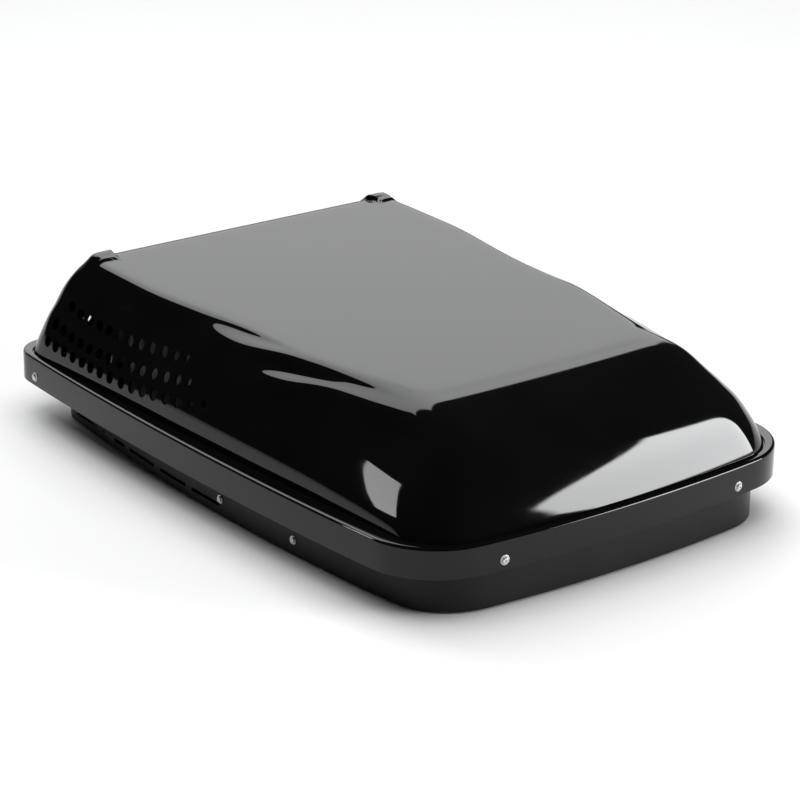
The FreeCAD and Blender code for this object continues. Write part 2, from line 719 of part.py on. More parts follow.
# foam pads that carry the tail and nose on the roof
pads = []
for i, (x, y, lx, ly) in enumerate([(-250, 330, 60, 70), (190, 330, 60, 70), (-230, -430, 60, 40), (170, -430, 60, 40)]):
    pads.append(box("pad_%d" % i, lx, ly, "pad_thick", x, y, 0))
keep(group("pads", pads), "support_pads")

# threaded inserts for the four mounting bolts
ins = []
for i, (a, b) in enumerate([(-1, -1), (1, -1), (1, 1), (-1, 1)]):
    o = cyl("insert_%d" % i, "insert_outer", 9, "%d * insert_spacing / 2" % a, "roof_centre + %d * insert_spacing / 2" % b, "recess_level + sheet")
    c = cyl("insert_bore_%d" % i, "insert_rad", 12, "%d * insert_spacing / 2" % a, "roof_centre + %d * insert_spacing / 2" % b, "recess_level + sheet - 1")
    ins.append(cut("insert_cut_%d" % i, o, c))
keep(group("inserts", ins), "mounting_inserts")


# ----------------------------------------------------------------- evaporator
def u_tube(path, r, bend, wall_t=0.0):
    """round tube along a polyline with rounded corners, hollow if it has a wall"""
    if wall_t > 0:
        return u_tube(path, r, bend).cut(u_tube(path, r - wall_t, bend))
    edges = []
    pts = [V(*q) for q in path]
    last = pts[0]
    for i in range(1, len(pts) - 1):
        a, b, c = pts[i - 1], pts[i], pts[i + 1]
        d1 = (b - a)
        d1.normalize()
        d2 = (c - b)
        d2.normalize()
        p1 = b - d1 * bend
        p2 = b + d2 * bend
        mid = b + (d2 - d1) * bend * (1 - math.sqrt(0.5))
        if (p1 - last).Length > 1e-6:
            edges.append(Part.LineSegment(last, p1).toShape())
        edges.append(Part.Arc(p1, mid, p2).toShape())
        last = p2
    if (pts[-1] - last).Length > 1e-6:
        edges.append(Part.LineSegment(last, pts[-1]).toShape())
    w = Part.Wire(edges)
    d = pts[1] - pts[0]
    d.normalize()
    prof = Part.Wire([Part.makeCircle(r, pts[0], d)])
    return w.makePipeShell([prof], True, False, 1)


ct = D.coil_tube
cp = D.coil_pitch
hb = cp / 2
ex = D.evap_half + 4
ya, yb_ = D.evap_front + 12, D.evap_rear - 12
path = [(-ex, ya, D.evap_low)]
for k in range(7):
    z = D.evap_low + cp * k
    s = 1 if k % 2 == 0 else -1
    if k > 0:
        path.append((-s * (ex + hb), ya, z))
    path.append((s * (ex + hb), ya, z))
path[-1] = ((ex + hb), ya, D.evap_low + 6 * cp)
for k in range(6, -1, -1):
    z = D.evap_low + cp * k
    s = 1 if k % 2 == 0 else -1
    path.append((s * (ex + hb), yb_, z))
    if k > 0:
        path.append((-s * (ex + hb), yb_, z))
path.append((-ex, yb_, D.evap_low))
ev_tube = u_tube(path, ct, hb - 0.01, 0.8)
feature("evaporator_tubes", ev_tube)


def fin_stack(size, bores, axis, start, stop, pitch, thick):
    """one fin with its bores, repeated along the axis"""
    fins = []
    n = int((stop - start) / pitch)
    (a0, a1), (z0, z1) = size
    if axis == "x":
        one = Part.makeBox(thick, a1 - a0, z1 - z0, V(start, a0, z0))
        for (a, z) in bores:
            one = one.cut(Part.makeCylinder(ct + 0.03, thick + 2, V(start - 1, a, z), V(1, 0, 0)))
    else:
        one = Part.makeBox(a1 - a0, thick, z1 - z0, V(a0, start, z0))
        for (a, z) in bores:
            one = one.cut(Part.makeCylinder(ct + 0.03, thick + 2, V(a, start - 1, z), V(0, 1, 0)))
    for i in range(n + 1):
        c = one.copy()
        c.translate(V(pitch * i, 0, 0) if axis == "x" else V(0, pitch * i, 0))
        fins.append(c)
    return fins


ev_bores = [(y, D.evap_low + cp * k) for k in range(7) for y in (ya, yb_)]
ev_z = (D.evap_low - 14, D.evap_low + 6 * cp + 14)
feature("evaporator_fins", Part.makeCompound(fin_stack(((D.evap_front, D.evap_rear), ev_z), ev_bores, "x", -D.evap_half + 3, D.evap_half - 3, 4.0, D.fin_thick)))
ends = []
for s in (-1, 1):
    x0 = -D.evap_half - 1.5 if s < 0 else D.evap_half
    e = Part.makeBox(1.5, D.evap_rear - D.evap_front + 8, ev_z[1] - 16, V(x0, D.evap_front - 4, 16))
    e = e.fuse(Part.makeBox(12, D.evap_rear - D.evap_front + 8, 1.5, V(x0 if s > 0 else x0 - 10.5, D.evap_front - 4, 16)))
    for (y, z) in ev_bores:
        e = e.cut(Part.makeCylinder(ct + 0.03, 4, V(x0 - 1, y, z), V(1, 0, 0)))
    ends.append(e)
feature("evaporator_end_plates", Part.makeCompound(ends))

# insulated cover over the indoor-air side
cv = cut("cover_a", box("cover_out", "2 * cover_half", "cover_rear - cover_front", "cover_top - recess_level - sheet", "-cover_half", "cover_front", "recess_level + sheet"),
         box("cover_in", "2 * (cover_half - cover_wall)", "cover_rear - cover_front - 2 * cover_wall", "cover_top - recess_level - sheet - cover_wall",
             "-cover_half + cover_wall", "cover_front + cover_wall", "recess_level + sheet"))
holes = fuse("cover_holes", [
    cyl("cover_shaft_hole", "shaft_rad + 6", 20, 0, "cover_rear - 13", "axis_level", "y"),
    cyl("cover_pipe_a", 3.0, 20, "-cover_half - 7", ya, "evap_low", "x"),
    cyl("cover_pipe_b", 7.0, 20, "-cover_half - 7", yb_, "evap_low", "x")])
cv = cut("cover_b", cv, holes)
keep(cv, "evaporator_cover")

# ------------------------------------------------------------------- blower
az = D.axis_level


def spiral(offset):
    pts = []
    a0, a1 = -105.0, 180.0
    for i in range(39):
        a = a0 + (a1 - a0) * i / 38.0
        r = D.scroll_start + (D.scroll_end - D.scroll_start) * (a - a0) / (a1 - a0) + offset
        pts.append((r * math.cos(math.radians(a)), az + r * math.sin(math.radians(a))))
    return pts


def scroll_wire(offset, y):
    pts = spiral(offset)
    c = Part.BSplineCurve()
    c.interpolate([V(x, y, z) for x, z in pts])
    e = c.toShape()
    a, b = pts[-1], pts[0]
    bot = D.recess_level + D.sheet
    x_in = -17 + offset
    poly = [V(a[0], y, a[1]), V(a[0], y, bot), V(x_in, y, bot), V(b[0], y, b[1])]
    segs = [Part.LineSegment(poly[i], poly[i + 1]).toShape() for i in range(3)]
    return Part.Wire([e] + segs)


sw = D.scroll_wall
outer = Part.Face(scroll_wire(sw, D.scroll_front)).extrude(V(0, D.scroll_rear - D.scroll_front, 0))
inside = Part.Face(scroll_wire(0, D.scroll_front + sw)).extrude(V(0, D.scroll_rear - D.scroll_front - 2 * sw, 0))
scroll = outer.cut(inside)
scroll = scroll.cut(Part.makeCylinder(50, 10, V(0, D.scroll_front - 4, az), V(0, 1, 0)))
scroll = scroll.cut(Part.makeCylinder(D.shaft_rad + 5, 10, V(0, D.scroll_rear - 6, az), V(0, 1, 0)))
feature("blower_housing", scroll)
bell = Part.Face(Part.makePolygon([V(50, D.scroll_front, az), V(58, D.scroll_front, az), V(58, D.scroll_front - 2, az), V(56, D.scroll_front - 6, az),
                                   V(54, D.scroll_front - 7, az), V(51.5, D.scroll_front - 5, az), V(50, D.scroll_front - 2, az), V(50, D.scroll_front, az)]))
feature("blower_inlet_ring", bell.revolve(V(0, 0, az), V(0, 1, 0), 360))

wf, wr = D.wheel_front, D.wheel_rear
blades = []
for i in range(40):
    b = Part.makeBox(D.wheel_rad - D.wheel_in, wr - wf - 1.0, 1.0, V(0, 0, -0.5))
    b.rotate(V(0, 0, 0), V(0, 1, 0), 28)
    b.translate(V(D.wheel_in + 0.6, wf + 0.5, 0))
    b.rotate(V(0, 0, 0), V(0, 1, 0), 9 * i)
    b.translate(V(0, 0, az))
    blades.append(b)
disc = Part.makeCylinder(D.wheel_rad, 1.5, V(0, wr - 1.5, az), V(0, 1, 0))
ringf = Part.makeCylinder(D.wheel_rad, 1.5, V(0, wf, az), V(0, 1, 0)).cut(Part.makeCylinder(D.wheel_in, 4, V(0, wf - 1, az), V(0, 1, 0)))
hub = Part.makeCylinder(14, 30, V(0, wr - 30, az), V(0, 1, 0))
wheel = disc.fuse(blades + [ringf, hub])
wheel = wheel.cut(Part.makeCylinder(D.shaft_rad, 60, V(0, wr - 45, az), V(0, 1, 0)))
wheel = wheel.cut(Part.makeCylinder(2.0, 20, V(0, wr - 20, az), V(0, 0, 1)))
if len(wheel.Solids) == 1:
    wheel = wheel.Solids[0]
feature("blower_wheel", wheel)
print("wheel", wheel.isValid(), len(wheel.Solids))

# -------------------------------------------------------------------- motor
mz = "axis_level"
keep(cut("motor_can", cyl("can_out", "motor_rad", "motor_rear - motor_front", 0, "motor_front", mz, "y"),
         cyl("can_in", "motor_rad - 3", "motor_rear - motor_front + 2", 0, "motor_front - 1", mz, "y")), "motor_housing")
bells = []
for i, (y0, yb0) in enumerate((("motor_front - bell_len", "motor_front - bell_len - 1"), ("motor_rear", "motor_rear - 1"))):
    bells.append(cut("bell_%d" % i, cyl("bell_out_%d" % i, "motor_rad", "bell_len", 0, y0, mz, "y"), cyl("bell_in_%d" % i, "bearing_rad", "bell_len + 2", 0, yb0, mz, "y")))
keep(group("bells", bells), "motor_end_bells")
brs = []
for i, y0 in enumerate(("motor_front - bell_len", "motor_rear")):
    brs.append(cut("brg_%d" % i, cyl("brg_out_%d" % i, "bearing_rad", "bell_len", 0, y0, mz, "y"), cyl("brg_in_%d" % i, "shaft_rad + run_gap", "bell_len + 2", 0, y0 + " - 1", mz, "y")))
keep(group("bearings", brs), "motor_bearings")
st = cut("stator_a", cyl("stator_out", "motor_rad - 3", 60, 0, 95, mz, "y"), cyl("stator_in_c", "stator_in", 62, 0, 94, mz, "y"))
w1 = cut("wind_a", cyl("wind_a_out", 45, 9, 0, 86, mz, "y"), cyl("wind_a_in", 30, 11, 0, 85, mz, "y"))
w2 = cut("wind_b", cyl("wind_b_out", 45, 9, 0, 155, mz, "y"), cyl("wind_b_in", 30, 11, 0, 154, mz, "y"))
keep(st, "motor_stator")
keep(group("windings", [w1, w2]), "motor_windings")
keep(cut("rotor_core", cyl("rotor_out", "rotor_rad", 60, 0, 95, mz, "y"), cyl("rotor_in", "shaft_rad", 62, 0, 94, mz, "y")), "motor_rotor")
keep(cyl("shaft_c", "shaft_rad", "shaft_rear - shaft_front", 0, "shaft_front", mz, "y"), "motor_shaft")

br_parts = [box("br_base", 100, 74, 3, -50, 88, "pan_under + sheet")]
for i, y0 in enumerate((90, 156)):
    br_parts.append(box("br_leg_%d" % i, 84, 4, "axis_level - 25 - pan_under - sheet", -42, y0, "pan_under + sheet"))
keep(cut("bracket_cut", fuse("bracket_f", br_parts), cyl("bracket_c", "motor_rad", 100, 0, 80, mz, "y")), "motor_bracket")
sr = cut("strap_a", cyl("strap_out", "motor_rad + 1.3", 14, 0, 118, mz, "y"), cyl("strap_in", "motor_rad", 16, 0, 117, mz, "y"))
sr = cut("strap_b", sr, box("strap_cutbox", 140, 30, 80, -70, 110, "axis_level - 80"))
legs = [sr]
for i, (x0, xf) in enumerate((("-motor_rad - 1.3", "-motor_rad - 14"), ("motor_rad", "motor_rad"))):
    legs.append(box("strap_leg_%d" % i, 1.3, 14, "axis_level - pan_under - sheet", x0, 118, "pan_under + sheet"))
    legs.append(box("strap_foot_%d" % i, 14, 14, 1.3, xf, 118, "pan_under + sheet"))
keep(fuse("strap_f", legs), "motor_strap")

# ------------------------------------------------------- bulkhead and fan plate
def wall_outline(y, foot_x, pts):
    left = [(-foot_x, 5)] + [(-a, b) for a, b in pts]
    right = [(a, b) for a, b in reversed(pts)] + [(foot_x, 5)]
    q = [V(a, y, b) for a, b in left + right]
    return Part.Face(Part.makePolygon(q + [q[0]]))


by = D.bulkhead_y
bulk = wall_outline(by, 306, [(306, 130), (292, 165), (284, 192), (262, 216), (244, 236)]).extrude(V(0, 2, 0))
bulk = bulk.cut(Part.makeCylinder(14, 10, V(0, by - 4, az), V(0, 1, 0)))
bulk = bulk.cut(Part.makeCylinder(3.2, 10, V(-200, by - 4, 184), V(0, 1, 0)))
bulk = bulk.cut(Part.makeCylinder(7.5, 10, V(-206, by - 4, 52), V(0, 1, 0)))
bulk = bulk.fuse(Part.makeBox(560, 14, 1.5, V(-280, by - 12, 5)).cut(Part.makeBox(2 * rh + 4, 60, 30, V(-rh - 2, by - 30, 0))))
bulk = bulk.cut(Part.makeBox(2 * rh + 1, 60, D.recess_level + sh, V(-rh - 0.5, by - 30, 0)))
feature("bulkhead", bulk)

py = D.plate_y
fp = wall_outline(py, 292, [(292, 66), (296, 125), (290, 160), (284, 190), (274, 222), (258, 240)]).extrude(V(0, 2, 0))
fp = fp.fuse(Part.makeCylinder(D.venturi_rad + 2, 28, V(0, py, az), V(0, 1, 0)))
fp = fp.cut(Part.makeCylinder(D.venturi_rad, 60, V(0, py - 10, az), V(0, 1, 0)))
feature("fan_shroud_plate", fp)

# ------------------------------------------------------------- condenser fan
def blade_section(r, chord, tilt, x_shift):
    t = 1.3
    a = math.radians(tilt)
    ca, sa = math.cos(a), math.sin(a)
    pts = []
    for (u_, w_) in ((-chord / 2, 0), (-chord / 4, t), (0, t + 0.9), (chord / 4, t), (chord / 2, 0), (chord / 4, -t * 0.3), (0, 0.1), (-chord / 4, -t * 0.3)):
        pts.append(V(x_shift + u_ * ca - w_ * sa, u_ * sa + w_ * ca, r))
    return Part.makePolygon(pts + [pts[0]])


fan_y = (D.fan_front + D.fan_rear) / 2
fan_blades = []
for i in range(5):
    lo = Part.makeLoft([blade_section(D.fan_hub - 2, 22, 42, 0), blade_section(48, 40, 32, 4), blade_section(D.fan_rad - 1, 56, 22, 10)], True, True)
    lo = lo.common(Part.makeCylinder(D.fan_rad, 60, V(0, -30, 0), V(0, 1, 0)))
    lo.rotate(V(0, 0, 0), V(0, 1, 0), 72 * i)
    lo.translate(V(0, fan_y, az))
    fan_blades.append(lo)
fhub = Part.makeCylinder(D.fan_hub, D.fan_rear - D.fan_front, V(0, D.fan_front, az), V(0, 1, 0))
fan = fhub.fuse(fan_blades)
fan = fan.cut(Part.makeCylinder(D.shaft_rad, 80, V(0, D.fan_front - 20, az), V(0, 1, 0)))
fan = fan.cut(Part.makeCylinder(2.0, 30, V(0, fan_y + 8, az), V(0, 0, 1)))
if len(fan.Solids) == 1:
    fan = fan.Solids[0]
feature("condenser_fan", fan)
print("fan", fan.isValid(), len(fan.Solids))
keep(group("setscrews", [cyl("set_a", 2.0, 7, 0, wr - 20, "axis_level + shaft_rad"), cyl("set_b", 2.0, 8, 0, fan_y + 8, "axis_level + shaft_rad")]), "set_screws")

# ------------------------------------------------------------ condenser coils
cx = D.coil_x
cf, cr = D.coil_front, D.coil_rear
for s, nm in ((-1, "left"), (1, "right")):
    x = s * cx
    path = [(x, cf - 4, D.coil_low)]
    for k in range(8):
        z = D.coil_low + cp * k
        if k % 2 == 0:
            if k > 0:
                path.append((x, cf - hb, z))
            path.append((x, cr + hb, z))
        else:
            path.append((x, cr + hb, z))
            path.append((x, cf - hb if k < 7 else cf - 4, z))
    feature("condenser_tubes_" + nm, u_tube(path, ct, hb - 0.01, 0.8))
    bores = [(x, D.coil_low + cp * k) for k in range(8)]
    zz = (D.coil_low - 11, D.coil_low + 7 * cp + 11)
    feature("condenser_fins_" + nm, Part.makeCompound(fin_stack(((x - 13, x + 13), zz), bores, "y", cf + 5, cr - 5.5, D.fin_gap, D.fin_thick)))
plates = []
for s in (-1, 1):
    for y0 in (cf + 1, cr - 2.5):
        e = Part.makeBox(30, 1.5, D.coil_low + 7 * cp + 13 - 5, V(s * cx - 15, y0, 5))
        for k in range(8):
            e = e.cut(Part.makeCylinder(ct + 0.03, 4, V(s * cx, y0 - 1, D.coil_low + cp * k), V(0, 1, 0)))
        plates.append(e)
feature("condenser_end_plates", Part.makeCompound(plates))

# ----------------------------------------------------------------- compressor
kx, kz = D.comp_x, D.comp_level
kr = D.comp_rad
f0, f1 = D.comp_front, D.comp_rear
prof = [V(kx, f0, kz), V(kx + 30, f0 + 2, kz), V(kx + 44, f0 + 9, kz), V(kx + kr, f0 + 24, kz), V(kx + kr, f1 - 24, kz), V(kx + 44, f1 - 9, kz), V(kx + 30, f1 - 2, kz), V(kx, f1, kz)]
pf = Part.Face(Part.makePolygon(prof + [prof[0]]))
comp = pf.revolve(V(kx, 0, kz), V(0, 1, 0), 360)
weld = Part.makeCylinder(kr + 1.5, 6, V(kx, f0 + 60, kz), V(0, 1, 0))
comp = comp.fuse(weld)
feature("compressor_shell", comp)
feet = []
for y0 in (f0 + 34, f1 - 40):
    yf = y0 - 19 if y0 < 200 else y0
    b = Part.makeBox(96, 3, 24, V(kx - 48, y0, 17)).fuse(Part.makeBox(96, 22, 3, V(kx - 48, yf, 17)))
    b = b.cut(Part.makeCylinder(kr, 60, V(kx, y0 - 30, kz), V(0, 1, 0)))
    for sx_ in (-1, 1):
        b = b.cut(Part.makeCylinder(5.2, 10, V(kx + sx_ * 38, y0 - 9 if y0 < 200 else y0 + 12, 14)))
    feet.append((b, y0))
feature("compressor_feet", Part.makeCompound([b for b, _ in feet]))
grs, sts = [], []
for _, y0 in feet:
    yy = y0 - 9 if y0 < 200 else y0 + 12
    for sx_ in (-1, 1):
        xg = kx + sx_ * 38
        g = Part.makeCylinder(8.5, 12, V(xg, yy, 5)).fuse(Part.makeCylinder(5.15, 4.5, V(xg, yy, 16)))
        g = g.cut(Part.makeCylinder(3.1, 30, V(xg, yy, 3)))
        grs.append(g)
        sts.append(Part.makeCylinder(3.0, 22, V(xg, yy, 5)).fuse(Part.makeCylinder(6, 4, V(xg, yy, 20.6))))
feature("compressor_grommets", Part.makeCompound(grs))
feature("compressor_studs", Part.makeCompound(sts))
tc = Part.makeCylinder(19, 24, V(kx, f0 + 100, kz + kr - 8)).cut(Part.makeCylinder(kr, 200, V(kx, f0 - 20, kz), V(0, 1, 0)))
tc = tc.makeFillet(4, [e for e in tc.Edges if e.BoundBox.ZMin > kz + kr + 15])
feature("terminal_cover", tc)

# ---------------------------------------------------------- refrigerant lines
ztop = D.coil_low + 7 * cp
feature("discharge_line", u_tube([(kx, f0 + 6, kz + 20), (kx, 60, kz + 20), (kx, 60, ztop), (cx, 60, ztop), (cx, cf - 4, ztop)], ct, 7.9).cut(comp))
feature("crossover_line", u_tube([(cx, cf - 4, D.coil_low), (cx, 60, D.coil_low), (-cx, 60, D.coil_low), (-cx, cf - 4, D.coil_low)], ct, 7.9))
drier_x0, drier_x1 = -246.0, -212.0
drier = Part.makeCylinder(9, drier_x1 - drier_x0, V(drier_x0, 60, ztop), V(1, 0, 0))
feature("liquid_line", u_tube([(-cx, cf - 4, ztop), (-cx, 60, ztop), (drier_x0, 60, ztop)], ct, 7.9))
feature("filter_drier", drier.makeFillet(4, drier.Edges))
ze = D.evap_low
feature("capillary_tube", u_tube([(drier_x1, 60, ztop), (-200, 60, ztop), (-200, ya, ztop), (-200, ya, ze), (-ex, ya, ze)], 1.5, 7.9))
feature("suction_line", u_tube([(-ex, yb_, ze), (-206, yb_, ze), (-206, yb_, 52), (-206, 68, 52), (kx, 68, 52), (kx, f0 + 6, 52)], 5.5, 5.9).cut(comp))

# -------------------------------------------------------- electrical box
eb = cut("ebox", box("ebox_out", "box_right - box_left", "box_rear - box_front", "box_height", "box_left", "box_front", "pan_under + sheet"),
         box("ebox_in", "box_right - box_left - 2 * box_wall", "box_rear - box_front - 2 * box_wall", "box_height", "box_left + box_wall", "box_front + box_wall", "pan_under + sheet + box_wall"))
eb = cut("ebox_g", eb, cyl("ebox_hole", 9.0, 10, "box_right - 5", 150, 70, "x"))
keep(eb, "electrical_box")
lid = box("lid_plate", "box_right - box_left + 4", "box_rear - box_front + 4", 1.5, "box_left - 2", "box_front - 2", "pan_under + sheet + box_height")
keep(lid, "electrical_box_cover")
gl = fuse("gland_f", [cyl("gland_a", 9.0, "box_wall", "box_right - box_wall", 150, 70, "x"), cyl("gland_b", 12.0, 3, "box_right", 150, 70, "x")])
keep(cut("gland_c", gl, cyl("gland_d", 5.0, 20, "box_right - 8", 150, 70, "x")), "wire_grommet")
cap = fuse("cap_f", [cyl("cap_can", "cap_rad", "cap_len", -165, "box_front + 22", "pan_under + sheet + box_wall + cap_rad", "y"),
                     cyl("cap_rim", "cap_rad - 3", 4, -165, "box_front + 22 + cap_len", "pan_under + sheet + box_wall + cap_rad", "y")])
keep(cap, "run_capacitor")
cs = cut("cs_a", cyl("cs_out", "cap_rad + 1.2", 12, -165, "box_front + 60", "pan_under + sheet + box_wall + cap_rad", "y"),
         cyl("cs_in", "cap_rad", 14, -165, "box_front + 59", "pan_under + sheet + box_wall + cap_rad", "y"))
cs = cut("cs_b", cs, box("cs_cut", 60, 20, "cap_rad + 4", -195, "box_front + 56", "pan_under + sheet + box_wall - 4"))
cs_legs = [cs]
for i, (x0, xf) in enumerate((("-165 - cap_rad - 1.2", "-165 - cap_rad - 11.2"), ("-165 + cap_rad", "-165 + cap_rad + 1.2"))):
    cs_legs.append(box("cs_leg_%d" % i, 1.2, 12, "cap_rad", x0, "box_front + 60", "pan_under + sheet + box_wall"))
    cs_legs.append(box("cs_foot_%d" % i, 10, 12, 1.2, xf, "box_front + 60", "pan_under + sheet + box_wall"))
keep(fuse("cs_f", cs_legs), "capacitor_strap")

doc.recompute()

# ------------------------------------------------------------ check and export
bad = []
for o in doc.Objects:
    st_ = [str(q) for q in o.State]
    if any(("Invalid" in q) or ("Error" in q) for q in st_):
        bad.append((o.Name, st_))
for o in PARTS:
    s = o.Shape
    if s.isNull() or not s.isValid() or s.Volume < 1:
        bad.append((o.Label, "shape", s.isNull() or s.isValid()))
print("bad:", bad)
for old in os.listdir("parts"):
    if old.endswith(".step"):
        os.remove(os.path.join("parts", old))
names = []
for o in PARTS:
    o.Shape.exportStep("parts/" + o.Label + ".step")
    bb = o.Shape.BoundBox
    names.append(o.Label)
    print("%-24s %4d solids  x %7.1f %7.1f  y %7.1f %7.1f  z %6.1f %6.1f  vol %.0f" % (o.Label, len(o.Shape.Solids), bb.XMin, bb.XMax, bb.YMin, bb.YMax, bb.ZMin, bb.ZMax, o.Shape.Volume))
assert len(names) == len(set(names))
print(len(names), "parts")
assert not bad, bad
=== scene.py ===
import bpy, bmesh, math
import numpy as np
from mathutils import Matrix, Vector


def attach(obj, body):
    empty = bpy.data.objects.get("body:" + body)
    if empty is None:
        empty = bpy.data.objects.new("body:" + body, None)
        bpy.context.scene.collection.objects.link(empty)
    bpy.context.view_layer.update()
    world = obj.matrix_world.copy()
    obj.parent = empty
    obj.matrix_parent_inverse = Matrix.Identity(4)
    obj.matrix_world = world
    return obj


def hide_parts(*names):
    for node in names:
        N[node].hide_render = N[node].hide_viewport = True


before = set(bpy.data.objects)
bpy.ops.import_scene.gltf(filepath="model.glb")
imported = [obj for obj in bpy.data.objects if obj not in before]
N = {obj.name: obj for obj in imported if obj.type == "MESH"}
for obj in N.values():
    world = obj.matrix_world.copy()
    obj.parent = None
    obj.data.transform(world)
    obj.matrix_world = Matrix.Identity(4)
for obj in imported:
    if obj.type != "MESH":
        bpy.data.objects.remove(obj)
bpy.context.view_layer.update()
MM = 0.001


# ------------------------------------------------------------------ materials
def new_mat(name):
    m = bpy.data.materials.new(name)
    m.use_nodes = True
    nt = m.node_tree
    b = nt.nodes["Principled BSDF"]
    return m, nt, b


def noise(nt, scale, detail=2.0, rough=0.5, stretch=None):
    tc = nt.nodes.new("ShaderNodeTexCoord")
    mp = nt.nodes.new("ShaderNodeMapping")
    if stretch:
        mp.inputs["Scale"].default_value = stretch
    nz = nt.nodes.new("ShaderNodeTexNoise")
    nz.inputs["Scale"].default_value = scale
    nz.inputs["Detail"].default_value = detail
    nz.inputs["Roughness"].default_value = rough
    nt.links.new(tc.outputs["Object"], mp.inputs["Vector"])
    nt.links.new(mp.outputs["Vector"], nz.inputs["Vector"])
    return nz


def ranged(nt, src, lo, hi, a=0.3, b=0.7):
    r = nt.nodes.new("ShaderNodeMapRange")
    r.inputs["From Min"].default_value = a
    r.inputs["From Max"].default_value = b
    r.inputs["To Min"].default_value = lo
    r.inputs["To Max"].default_value = hi
    nt.links.new(src, r.inputs["Value"])
    return r.outputs["Result"]


def ramp(nt, src, c0, c1, a=0.3, b=0.7):
    r = nt.nodes.new("ShaderNodeValToRGB")
    r.color_ramp.elements[0].position = a
    r.color_ramp.elements[0].color = (*c0, 1)
    r.color_ramp.elements[1].position = b
    r.color_ramp.elements[1].color = (*c1, 1)
    nt.links.new(src, r.inputs["Fac"])
    return r.outputs["Color"]


def bump(nt, b, src, strength, dist):
    bp = nt.nodes.new("ShaderNodeBump")
    bp.inputs["Strength"].default_value = strength
    bp.inputs["Distance"].default_value = dist
    nt.links.new(src, bp.inputs["Height"])
    nt.links.new(bp.outputs["Normal"], b.inputs["Normal"])


def gloss_black():
    m, nt, b = new_mat("gloss_black_plastic")
    n1 = noise(nt, 9.0, 3.0)
    nt.links.new(ramp(nt, n1.outputs["Fac"], (0.0021, 0.0022, 0.0023), (0.0030, 0.0031, 0.0032)), b.inputs["Base Color"])
    n2 = noise(nt, 45.0, 4.0)
    nt.links.new(ranged(nt, n2.outputs["Fac"], 0.035, 0.055), b.inputs["Roughness"])
    n3 = noise(nt, 60.0, 2.0)
    bump(nt, b, n3.outputs["Fac"], 0.02, 0.0002)
    b.inputs["IOR"].default_value = 1.5
    b.inputs["Specular IOR Level"].default_value = 0.31
    return m


def coated_steel(name, c0, c1, r0, r1, grain=900.0, bstr=0.25, metallic=0.0, spec=0.5):
    m, nt, b = new_mat(name)
    n1 = noise(nt, 14.0, 4.0)
    nt.links.new(ramp(nt, n1.outputs["Fac"], c0, c1), b.inputs["Base Color"])
    n2 = noise(nt, 30.0, 5.0)
    nt.links.new(ranged(nt, n2.outputs["Fac"], r0, r1), b.inputs["Roughness"])
    n3 = noise(nt, grain, 2.0)
    bump(nt, b, n3.outputs["Fac"], bstr, 0.0001)
    b.inputs["Metallic"].default_value = metallic
    b.inputs["Specular IOR Level"].default_value = spec
    return m


def metal(name, c0, c1, r0, r1, stretch=(1, 1, 1), grain=220.0, bstr=0.15):
    m, nt, b = new_mat(name)
    n1 = noise(nt, grain, 4.0, 0.6, stretch)
    nt.links.new(ramp(nt, n1.outputs["Fac"], c0, c1), b.inputs["Base Color"])
    n2 = noise(nt, 60.0, 4.0)
    nt.links.new(ranged(nt, n2.outputs["Fac"], r0, r1), b.inputs["Roughness"])
    bump(nt, b, n1.outputs["Fac"], bstr, 0.00008)
    b.inputs["Metallic"].default_value = 1.0
    return m


def galvanised():
    m, nt, b = new_mat("galvanised_sheet")
    tc = nt.nodes.new("ShaderNodeTexCoord")
    v = nt.nodes.new("ShaderNodeTexVoronoi")
    v.inputs["Scale"].default_value = 110.0
    nt.links.new(tc.outputs["Object"], v.inputs["Vector"])
    nt.links.new(ramp(nt, v.outputs["Color"], (0.34, 0.36, 0.38), (0.55, 0.57, 0.59), 0.1, 0.9), b.inputs["Base Color"])
    n2 = noise(nt, 40.0, 4.0)
    nt.links.new(ranged(nt, n2.outputs["Fac"], 0.32, 0.5), b.inputs["Roughness"])
    bump(nt, b, v.outputs["Distance"], 0.06, 0.0002)
    b.inputs["Metallic"].default_value = 1.0
    return m


def foam():
    m, nt, b = new_mat("closed_cell_foam")
    tc = nt.nodes.new("ShaderNodeTexCoord")
    v = nt.nodes.new("ShaderNodeTexVoronoi")
    v.inputs["Scale"].default_value = 700.0
    nt.links.new(tc.outputs["Object"], v.inputs["Vector"])
    nt.links.new(ramp(nt, v.outputs["Distance"], (0.008, 0.008, 0.009), (0.03, 0.03, 0.031), 0.0, 0.8), b.inputs["Base Color"])
    n2 = noise(nt, 50.0, 3.0)
    nt.links.new(ranged(nt, n2.outputs["Fac"], 0.8, 0.95), b.inputs["Roughness"])
    bump(nt, b, v.outputs["Distance"], 0.5, 0.0004)
    return m


M_GLOSS = gloss_black()
M_PAN = coated_steel("pan_powder_coat", (0.0062, 0.0064, 0.0067), (0.0085, 0.0088, 0.0091), 0.34, 0.42, 1400.0, 0.10, 0.0, 0.2)
M_PLASTIC = coated_steel("inner_plastic", (0.02, 0.02, 0.021), (0.035, 0.035, 0.036), 0.45, 0.6, 600.0, 0.3)
M_WHEEL = coated_steel("fan_plastic", (0.012, 0.012, 0.013), (0.022, 0.022, 0.023), 0.4, 0.55, 500.0, 0.25)
M_COMP = coated_steel("compressor_paint", (0.008, 0.008, 0.009), (0.016, 0.016, 0.017), 0.3, 0.42, 300.0, 0.3)
M_MOTOR = coated_steel("motor_paint", (0.02, 0.021, 0.023), (0.035, 0.036, 0.038), 0.35, 0.5, 300.0, 0.3)
M_ZINC = metal("zinc_plate", (0.42, 0.45, 0.5), (0.62, 0.64, 0.67), 0.24, 0.36)
M_SCREW = metal("screw_steel", (0.58, 0.58, 0.585), (0.76, 0.76, 0.765), 0.24, 0.34)
